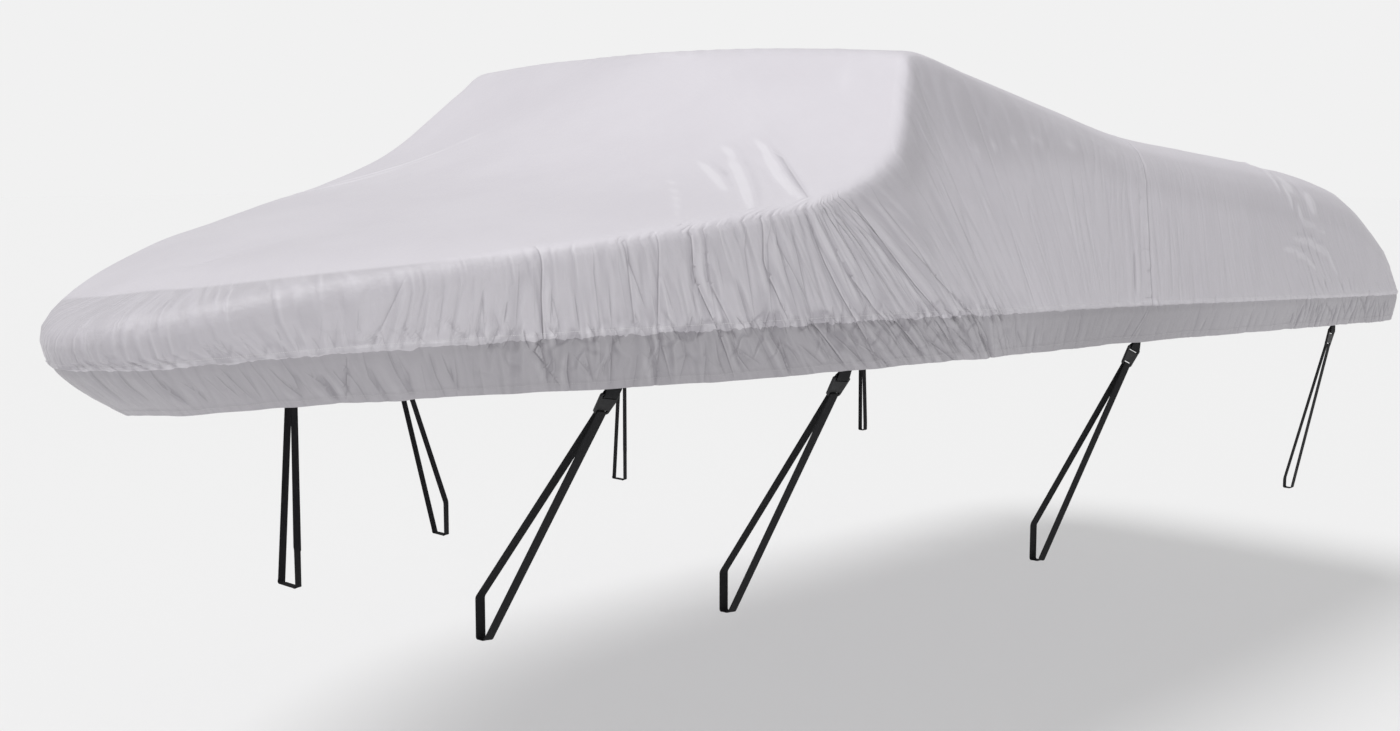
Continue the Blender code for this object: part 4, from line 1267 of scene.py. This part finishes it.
# and these far from the cross seam beside it
seamColumns = (0.0045, 0.0075, 0.0105, 0.0145)
seamClear = 0.020
hemRows = (0.0006, 0.0016, 0.003, 0.005, 0.009, 0.015, clothSizes["hem"])  # below the hem fold's upper edge


def columnPlaces(start, end):
    places, place = [start], start
    for stop, step in columnSteps:
        stop = min(stop, end)
        if stop > place:
            places.extend(np.linspace(place, stop, max(1, math.ceil((stop - place) / step)) + 1)[1:])
            place = stop
    return np.array(places)


# up of every row of a panel at each place along: the lip, the turn at the seam, side, ridge and top
def panelUps(alongs):
    skirt, side = ribLengths(alongs)[:2]
    rollUp, sideEnd = coverShape["rollUp"], 1 - coverShape["rollUp"]
    uneven = clothSizes["lipWander"]
    swing = uneven["share"] * tableAt(crumpling, "share", alongs) * wander(alongs, 50, uneven["longest"])
    lip = clothSizes["lip"] * np.clip(1 + swing, uneven["least"], uneven["most"])
    rows = [-lip / skirt, -0.5 * lip / skirt, np.zeros(alongs.shape)]
    turns = [np.minimum(turn, 0.2 * side * (number + 1)) for number, turn in enumerate(clothSizes["turn"])]
    rows += [sideEnd * turn / side for turn in turns]
    for step in range(1, clothSizes["sideRows"] + 1):
        share = (step / clothSizes["sideRows"]) ** clothSizes["sideSpread"]
        rows.append(sideEnd * (turns[-1] + (side - turns[-1]) * share) / side)
    for step in range(1, clothSizes["rollRows"] + 1):
        rows.append(np.full(alongs.shape, sideEnd + 2 * rollUp * step / clothSizes["rollRows"]))
    for step in range(1, clothSizes["topRows"] + 1):
        rows.append(np.full(alongs.shape, 1 + rollUp + sideEnd * step / clothSizes["topRows"]))
    return np.stack(rows, axis=1)


def skirtUps(alongs):
    skirt = ribLengths(alongs)[0]
    start, fold = clothSizes["skirtStart"], skirt - clothSizes["hem"]
    rows = [-(start + (fold - start) * share) / skirt for share in np.linspace(0, 1, clothSizes["skirtRows"])]
    rows += [-(fold + below) / skirt for below in hemRows]
    return np.stack(rows[::-1], axis=1)


# how dark the painted shade is at each point, on the sides and the skirt
def paintedShadeAt(places, ups):
    byEdge, below, start = (tableAt(sideShade, column, places) for column in ("byEdge", "below", "turn"))
    side = below + (byEdge - below) * smoothStep(start, start + sideShade["turnWide"], ups)
    side = side * smoothStep(*sideShade["seamEdge"], ups)
    return np.where(ups < 0, tableAt(skirtShade, "share", places), side)


# one side's points, (columns, rows), and what its finish needs to know at each; columns follow the pull
def clothSide(side, alongs, ups, extra):
    flow = np.broadcast_to(alongs[:, None], ups.shape)
    places = followPull(flow, ups)
    heights = heightAt(places, ups)
    relief, folded = reliefAt(side, places, heights, ups)
    points = surfaceAt(places, ups) + outwardAt(places, ups) * (relief + extra(places, heights))[..., None]
    # how far each point lies above the painted shade's edge; the crumples die out above it
    overEdge = ups - tableAt(shadeEdges[side], "up", places)
    lost = crumpling["litTopLoss"] * smoothStep(*crumpling["litTopEdge"], overEdge)
    crumple = tableAt(crumpling, "share", flow) * (1 - lost)
    bowSkirt = crumpling["bowSkirt"]
    crumple = np.where((ups < 0) & (flow < bowSkirt["end"]), bowSkirt["share"] * crumple, crumple)
    marks = {
        **folded,
        "along": places,
        "height": heights,
        "crumple": crumple,
        "flow": flow,
        "fromHem": heights + ribLengths(places)[0],
        "paintedShade": paintedShadeAt(places, ups),
        "overEdge": overEdge,
    }
    return mirrored(points) if side == starboard else points, marks


# a cloth piece from a sheet of points, (columns, rows), that faces outward; its ends are sewn shut
def makeCloth(name, points, marks, material):
    columns, rows = points.shape[:2]
    deselectAll()
    bpy.ops.mesh.primitive_grid_add(x_subdivisions=columns - 1, y_subdivisions=rows - 1, size=2)
    piece = bpy.context.object
    mesh = piece.data
    piece.name = mesh.name = name
    start = np.zeros(len(mesh.vertices) * 3, np.float32)
    mesh.vertices.foreach_get("co", start)
    start = start.reshape(-1, 3)
    column = np.rint((start[:, 0] + 1) / 2 * (columns - 1)).astype(int)
    row = np.rint((start[:, 1] + 1) / 2 * (rows - 1)).astype(int)
    placed = points[column, row].astype(np.float32)
    mesh.vertices.foreach_set("co", placed.ravel())
    # the pattern runs round from the bow, with the port side's places along below nothing
    corner = np.zeros(len(mesh.loops), np.int32)
    mesh.loops.foreach_get("vertex_index", corner)
    faceSide = np.where(placed[corner, 1].reshape(-1, 4).mean(axis=1) < 0, port, starboard)
    alongs = marks["along"][column, row][corner] * np.repeat(faceSide, 4)
    uv = np.stack((alongs, marks["height"][column, row][corner]), axis=1)
    mesh.uv_layers.active.data.foreach_set("uv", uv.astype(np.float32).ravel())
    for mark in ("press", "off", "sharp", "crumple", "flow", "fromHem", "paintedShade", "overEdge"):
        layer = mesh.attributes.new(mark, "FLOAT", "POINT")
        layer.data.foreach_set("value", marks[mark][column, row].astype(np.float32))
    mesh.update()
    sewMiddle(piece, np.abs(placed[:, 1]) < 1e-6)
    mesh.materials.append(material)
    applyModifier(piece, "SOLIDIFY", thickness=clothSizes["thick"], offset=1, use_even_offset=True)
    smoothByAngle(piece, 50)
    return piece


# joins the two sides' points along the middle of the boat
def sewMiddle(piece, wanted):
    pickParts(piece, "VERT", wanted)
    bpy.ops.mesh.remove_doubles(threshold=clothSizes["sewReach"])
    bpy.ops.mesh.select_all(action="DESELECT")
    bpy.ops.object.mode_set(mode="OBJECT")


# a panel's rows run up the port side, over the spine and down the starboard one
def overSpine(left, right):
    return np.concatenate((left, right[:, -2::-1]), axis=1)


# the skirt goes right round, aft along the port side and forward along the starboard one
def roundStern(left, right):
    return np.concatenate((left, right[::-1]))


def makeSides(name, alongs, ups, extra, join, material):
    left, leftMarks = clothSide(port, alongs, ups, extra)
    right, rightMarks = clothSide(starboard, alongs, ups, extra)
    marks = {mark: join(leftMarks[mark], rightMarks[mark]) for mark in leftMarks}
    return makeCloth(name, join(left, right), marks, material)


# how much further out each piece lies: the front panel's edge stands up, what is lapped lies under
def frontExtra(places, heights):
    return clothSizes["edgeRise"] * (1 - smoothStep(*clothSizes["edgeFade"], crossSeam - places))


def rearExtra(places, heights):
    under = clothSizes["thick"] + clothSizes["lapGap"]
    return -under * (1 - smoothStep(0.002, clothSizes["lapFade"], places - crossSeam))


def skirtExtra(places, heights):
    under = clothSizes["thick"] + 2 * clothSizes["lapGap"]
    recess = -under * (1 - smoothStep(0.006, clothSizes["lapFade"] + 0.006, -heights))
    hem, fromHem = clothSizes["hem"], heights + ribLengths(places)[0]
    return recess + clothSizes["hemStep"] * (1 - smoothStep(hem - clothSizes["hemEdge"], hem, fromHem))


def frontAlongs():
    near = crossSeam - np.array((*seamColumns[::-1], 0.0015, 0.0002))
    return np.concatenate((columnPlaces(0, crossSeam - seamClear), near))


def rearAlongs():
    near = crossSeam + np.array((-clothSizes["lap"], -0.0045, 0.0, 0.002, *seamColumns))
    return np.concatenate((near, columnPlaces(crossSeam + seamClear, halfRound)))


clothLook = {
    "colour": (0.603, 0.580, 0.622),
    # tones of the painted shade and painted highlights in the creases; the light one also tints random patches
    "dark": (0.465, 0.445, 0.485),
    "light": (0.725, 0.705, 0.745),
    "skirtShadeShare": 0.72,  # the skirt's tones beside the panels', darker all over as painted shade under the gunwale
    "paintedShadeShare": 0.80,  # and the painted shade's tone beside the lit top's
    "deepest": 0.8,  # share of the dark tone in the painted shade at the bottom of a cut and the painted shadow under the lap
    "thread": (0.70, 0.69, 0.71),
    "threadWide": 0.0007,
    "stitch": 0.0042,
    "weave": 0.0008,
    "shine": (0.5, 0.4, 0.15),  # roughness, specular and sheen
    "roughness": (0.42, 0.56),
    # how many a metre in each direction, detail and roughness
    "patches": ((2.2, 2.2, 2.2), 4.0, 0.6),
    "streaks": ((60, 3.5, 1), 3.0, 0.55),
    "crumple": ((22, 13, 1), 2.5, 0.5),
    "crinkle": ((130, 95, 1), 4.0, 0.6),
    "broken": ((9, 6, 1), 2.0, 0.5),
    # how far each stands out, and how strongly it shows
    "foldRaise": (0.0036, 0.6),
    "lineRaise": (0.0019, 1.0),
    "cutRaise": (0.0012, 1.0),
    "crinkleRaise": (0.0006, 0.5),
    "weaveRaise": (0.00006, 0.5),
    "stitchRaise": (0.0005, 0.8),
    "patchBlend": (0.3, 0.7, 0.0, 0.25),
    # painted shade where the streaky fold bump runs low
    "streakShade": {"from": (0.42, 0.25), "share": 0.4},
    "foldShares": {"streaks": 0.8, "crumple": 2.6},
    "seamZone": {"middle": -0.02, "reach": (0.025, 0.085)},  # zigzags show this near the seam
    "shadeEdgeBlur": (-0.03, 0.02),  # up over which the painted shade's edge is blurred
    # painted shade in a pressed valley and painted highlight on a pressed ridge, at this press in millimetres
    "valley": {"press": (-0.2, -2.5), "shade": 0.9},
    "ridge": {"press": (0.2, 1.6), "shade": 0.6},
    # crease lines: how many a metre across and along the pull, and how wide
    "longLine": {"scale": (15, 1.7), "wide": 0.07},
    "fineLine": {"scale": (30, 4.0), "wide": 0.13},
    "zigzag": {"scale": (17, 13), "wide": 0.08},
    # crease lines are painted as shade, with painted highlights beside them
    "lineShade": 0.62,
    "flank": 0.0042,  # the painted highlight beside a line is this far aft of it
    "flankHighlight": 0.55,
    # painted shade at the bottom of a sharp crease and the painted highlight beside it, millimetres from its middle
    "cutWide": 2.0,
    "cutShade": 0.8,
    "cutFlank": 3.6,
    "cutFlankHighlight": 0.8,
    # a painted shadow just aft of the front panel's lapped edge at the cross seam
    "lapShade": 0.9,
    "lapWide": (0.0012, 0.0046),
}


def stitchLine(tree, place, middle, along):
    wide = clothLook["threadWide"]
    line = ramp(tree, apart(tree, place, middle), 0.4 * wide, wide, 1.0, 0.0)
    dash = calc(tree, "FRACT", calc(tree, "DIVIDE", along, clothLook["stitch"]))
    return times(tree, line, ramp(tree, apart(tree, dash, 0.5), 0.30, 0.42, 1.0, 0.0))


def shaded(colour, share):
    return tuple(part * share for part in colour)


def joined(tree, x, y):
    node = tree.nodes.new("ShaderNodeCombineXYZ")
    plug(tree, x, node.inputs[0])
    plug(tree, y, node.inputs[1])
    return node.outputs[0]


# sharp valleys that wander along the second direction of a stretched place
def creaseLines(tree, vector, line):
    wave = spots(tree, vector, (*line["scale"], 1), 1.0, 0.4)
    return ramp(tree, apart(tree, wave, 0.5), 0.0, line["wide"], 1.0, 0.0)


def shifted(tree, vector, aft):
    node = tree.nodes.new("ShaderNodeVectorMath")
    node.operation = "ADD"
    plug(tree, vector, node.inputs[0])
    node.inputs[1].default_value = (aft, 0, 0)
    return node.outputs[0]


# long, fine and zigzag crease lines; where the long ones are broken off the fine ones show
def allLines(tree, pulled, uv, broken, crumpled, zigzagShare):
    longLines = times(tree, creaseLines(tree, pulled, clothLook["longLine"]), ramp(tree, broken, 0.40, 0.58))
    fineLines = times(tree, creaseLines(tree, pulled, clothLook["fineLine"]), ramp(tree, broken, 0.60, 0.42))
    lines = times(tree, crumpled, calc(tree, "MULTIPLY_ADD", fineLines, 0.8, longLines))
    return calc(tree, "MULTIPLY_ADD", creaseLines(tree, uv, clothLook["zigzag"]), zigzagShare, lines)


# painted shade at the bottoms of the sharp creases and painted highlights beside them
def sharpCuts(tree):
    off, sharp, wide = readAttribute(tree, "off"), readAttribute(tree, "sharp"), clothLook["cutWide"]
    cuts = times(tree, sharp, ramp(tree, calc(tree, "ABSOLUTE", off), 0.4, wide, 1.0, 0.0))
    beside = ramp(tree, apart(tree, off, clothLook["cutFlank"]), 0.6, wide * 1.5, 1.0, 0.0)
    return cuts, times(tree, sharp, beside)


def stitchRows(tree, seams, along, height):
    rows = None
    for kind, middle in seams:
        if kind == "gunwale":
            line = stitchLine(tree, height, middle, along)
        elif kind == "cross":
            line = stitchLine(tree, calc(tree, "ABSOLUTE", along), crossSeam + middle, height)
        else:
            line = stitchLine(tree, readAttribute(tree, "fromHem"), middle, along)
        rows = line if rows is None else calc(tree, "MAXIMUM", rows, line)
    return rows


# polyester cloth with its pull lines, crumples, weave and rows of stitches, and painted shade on its sides, in its
# creases and under the lap, with painted highlights on ridges and beside creases; share makes a darker copy, painted
# shade all over
def clothFinish(name, seams, share=1.0, lapped=True):
    plain, dark, light = (shaded(clothLook[tone], share) for tone in ("colour", "dark", "light"))
    deepest = shaded(dark, clothLook["deepest"])
    material, tree, shader = newFinish(name, plain, *clothLook["shine"])
    uv, place = coordinates(tree, "UV"), coordinates(tree, "Object")
    along, height = splitUp(tree, uv)
    flow, crumpled, press = (readAttribute(tree, mark) for mark in ("flow", "crumple", "press"))
    pulled = joined(tree, times(tree, flow, calc(tree, "SIGN", along)), height)
    patches, crinkle = spots(tree, place, *clothLook["patches"]), spots(tree, uv, *clothLook["crinkle"])
    kinds = "streaks", "crumple", "broken"
    streaky, crumple, broken = (spots(tree, pulled, *clothLook[kind]) for kind in kinds)
    zone = clothLook["seamZone"]
    nearSeam = ramp(tree, apart(tree, height, zone["middle"]), *zone["reach"], 1.0, 0.0)
    zigzagShare = times(tree, nearSeam, ramp(tree, crumpled, 0.4, 1.0))
    amounts = broken, crumpled, zigzagShare
    # the crease lines dent the bump and are painted as shade; the same lines a little aft are painted highlights
    # beside them
    lines, lineHighlights = (allLines(tree, shifted(tree, pulled, aft), shifted(tree, uv, aft), *amounts)
                     for aft in (0.0, clothLook["flank"]))
    cuts, cutHighlights = sharpCuts(tree)
    stitches = stitchRows(tree, seams, along, height)
    # painted shade on the sides and the skirt, blurred at its edge under the lit top
    paintedShade = times(tree, readAttribute(tree, "paintedShade"),
                    ramp(tree, readAttribute(tree, "overEdge"), *clothLook["shadeEdgeBlur"], 1.0, 0.0))
    valley, ridge, streak = clothLook["valley"], clothLook["ridge"], clothLook["streakShade"]
    tones = [
        (paintedShade, shaded(plain, clothLook["paintedShadeShare"])),
        # painted shade in pressed valleys and painted highlights on pressed ridges
        (ramp(tree, press, *valley["press"], 0.0, valley["shade"]), dark),
        (ramp(tree, press, *ridge["press"], 0.0, ridge["shade"]), light),
        # painted shade in the low parts of the streaks
        (times(tree, ramp(tree, streaky, *streak["from"]), times(tree, crumpled, streak["share"])), dark),
        (times(tree, lineHighlights, clothLook["flankHighlight"]), light),
        (times(tree, lines, clothLook["lineShade"]), dark),
        (times(tree, cutHighlights, clothLook["cutFlankHighlight"]), light),
        (times(tree, cuts, clothLook["cutShade"]), deepest),
    ]
    # a painted shadow along the cross seam, aft of the front panel's lapped edge
    if lapped:
        fromLap = apart(tree, calc(tree, "ABSOLUTE", along), crossSeam)
        tones.append((ramp(tree, fromLap, *clothLook["lapWide"], clothLook["lapShade"], 0.0), deepest))
    tones.append((stitches, shaded(clothLook["thread"], share)))
    colour = blendColours(tree, ramp(tree, patches, *clothLook["patchBlend"]), plain, light)
    for amount, tone in tones:
        colour = blendColours(tree, amount, colour, tone)
    plug(tree, colour, shader.inputs["Base Color"])
    plug(tree, ramp(tree, crinkle, 0.3, 0.7, *clothLook["roughness"]), shader.inputs["Roughness"])
    shares = clothLook["foldShares"]
    folded = times(tree, apart(tree, crumple, 0.5), shares["crumple"])
    folded = calc(tree, "MULTIPLY_ADD", streaky, shares["streaks"], folded)
    threads = 2 * math.pi / clothLook["weave"]
    weave = times(tree, *(calc(tree, "SINE", times(tree, run, threads)) for run in (along, height)))
    bumps = {
        "fold": times(tree, crumpled, folded),
        "line": times(tree, lines, -1),
        "cut": times(tree, cuts, -1),
        "crinkle": crinkle,
        "weave": weave,
        "stitch": stitches,
    }
    normal = None
    for kind, bump in bumps.items():
        normal = raised(tree, bump, *clothLook[f"{kind}Raise"], under=normal)
    plug(tree, normal, shader.inputs["Normal"])
    return material


# the rows of stitches, by the seam that each follows and how far off it, and each piece's flat size and area
panels = {
    "front": {"seams": (("gunwale", 0.009), ("cross", -0.005)), "flat": (2.75, 2.85), "area": 7.2},
    "rear": {"seams": (("gunwale", 0.009),), "flat": (2.75, 2.55), "area": 5.4},
    "skirt": {"seams": (("hem", 0.018),), "flat": (0.145, 12.4), "area": 1.5},
}


def finishSheet(piece, node, facts):
    finishPiece(piece, node, "cloth")
    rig.sheet(piece, flat=facts["flat"], held="stretched", area=facts["area"])
    print(piece.name, "has", len(piece.data.polygons) * 2, "triangles")


def addCloth():
    for name, alongs, extra in (("front", frontAlongs(), frontExtra), ("rear", rearAlongs(), rearExtra)):
        finish = clothFinish(f"polyester cloth, {name}", panels[name]["seams"])
        piece = makeSides(f"{name}PanelCloth", alongs, panelUps(alongs), extra, overSpine, finish)
        finishSheet(piece, f"{name}_panel", panels[name])
    alongs, seams = columnPlaces(0, halfRound), panels["skirt"]["seams"]
    # the skirt takes a darker copy of the cloth, painted shade under the gunwale
    finish = clothFinish("polyester cloth, skirt", seams, clothLook["skirtShadeShare"], lapped=False)
    skirt = makeSides("skirtCloth", alongs, skirtUps(alongs), skirtExtra, roundStern, finish)
    finishSheet(skirt, "skirt", panels["skirt"])


addCloth()
print("cloth made")


# floor, backdrop and light
stageSizes = {
    "floor": -1.93,
    "half": 80.0,
    "floorTone": 0.45,
    "floorShine": (0.85, 0.2),
    "floorGlow": 0.36,
    "backdropTone": 0.88,
    "skyTone": 0.40,
}


def addStage():
    deselectAll()
    bpy.ops.mesh.primitive_plane_add(size=2 * stageSizes["half"], location=(0, 0, stageSizes["floor"]))
    floor = bpy.context.object
    floor.name = "studioFloor"
    material, _, shader = newFinish("pale floor", [stageSizes["floorTone"]] * 3, *stageSizes["floorShine"])
    shader.inputs["Emission Color"].default_value = (1, 1, 1, 1)
    shader.inputs["Emission Strength"].default_value = stageSizes["floorGlow"]
    floor.data.materials.append(material)
    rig.stage(floor)


# the sky lights the cover softly, and is paler where it is seen
def addSky():
    sky = bpy.data.worlds.new("studio sky")
    sky.use_nodes = True
    tree = sky.node_tree
    seen = tree.nodes["Background"]
    lit = tree.nodes.new("ShaderNodeBackground")
    for background, tone in ((seen, stageSizes["backdropTone"]), (lit, stageSizes["skyTone"])):
        background.inputs["Color"].default_value = (tone, tone, tone, 1)
    blend = tree.nodes.new("ShaderNodeMixShader")
    plug(tree, tree.nodes.new("ShaderNodeLightPath").outputs["Is Camera Ray"], blend.inputs[0])
    plug(tree, lit.outputs[0], blend.inputs[1])
    plug(tree, seen.outputs[0], blend.inputs[2])
    plug(tree, blend.outputs[0], tree.nodes["World Output"].inputs["Surface"])
    bpy.context.scene.world = sky


# soft distant lights: where each comes from, its power and how wide it is in degrees
lights = (
    {"name": "keyLight", "from": (-0.30, 0.18, 0.93), "power": 2.46, "softness": 36},
    {"name": "sideLight", "from": (-0.15, -0.98, -0.06), "power": 0.95, "softness": 30},
)


def addLights():
    for light in lights:
        deselectAll()
        turn = Vector(light["from"]).to_track_quat("Z", "Y").to_euler()
        bpy.ops.object.light_add(type="SUN", location=8 * Vector(light["from"]), rotation=turn)
        lamp = bpy.context.object
        lamp.name = light["name"]
        lamp.data.energy = light["power"]
        lamp.data.angle = math.radians(light["softness"])


addStage()
addSky()
addLights()
print("floor, sky and light placed")
bpy.context.scene.view_settings.view_transform = "Standard"
low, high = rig.bounds()
with open("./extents.json", "w") as sizeFile:
    json.dump({"cad": [list(cadLow), list(cadHigh)], "visual": [list(low), list(high)]}, sizeFile)
visualSize, cadSize = ([round(b - a, 4) for a, b in zip(*box)] for box in ((low, high), (cadLow, cadHigh)))
print("size", visualSize, "against", cadSize)
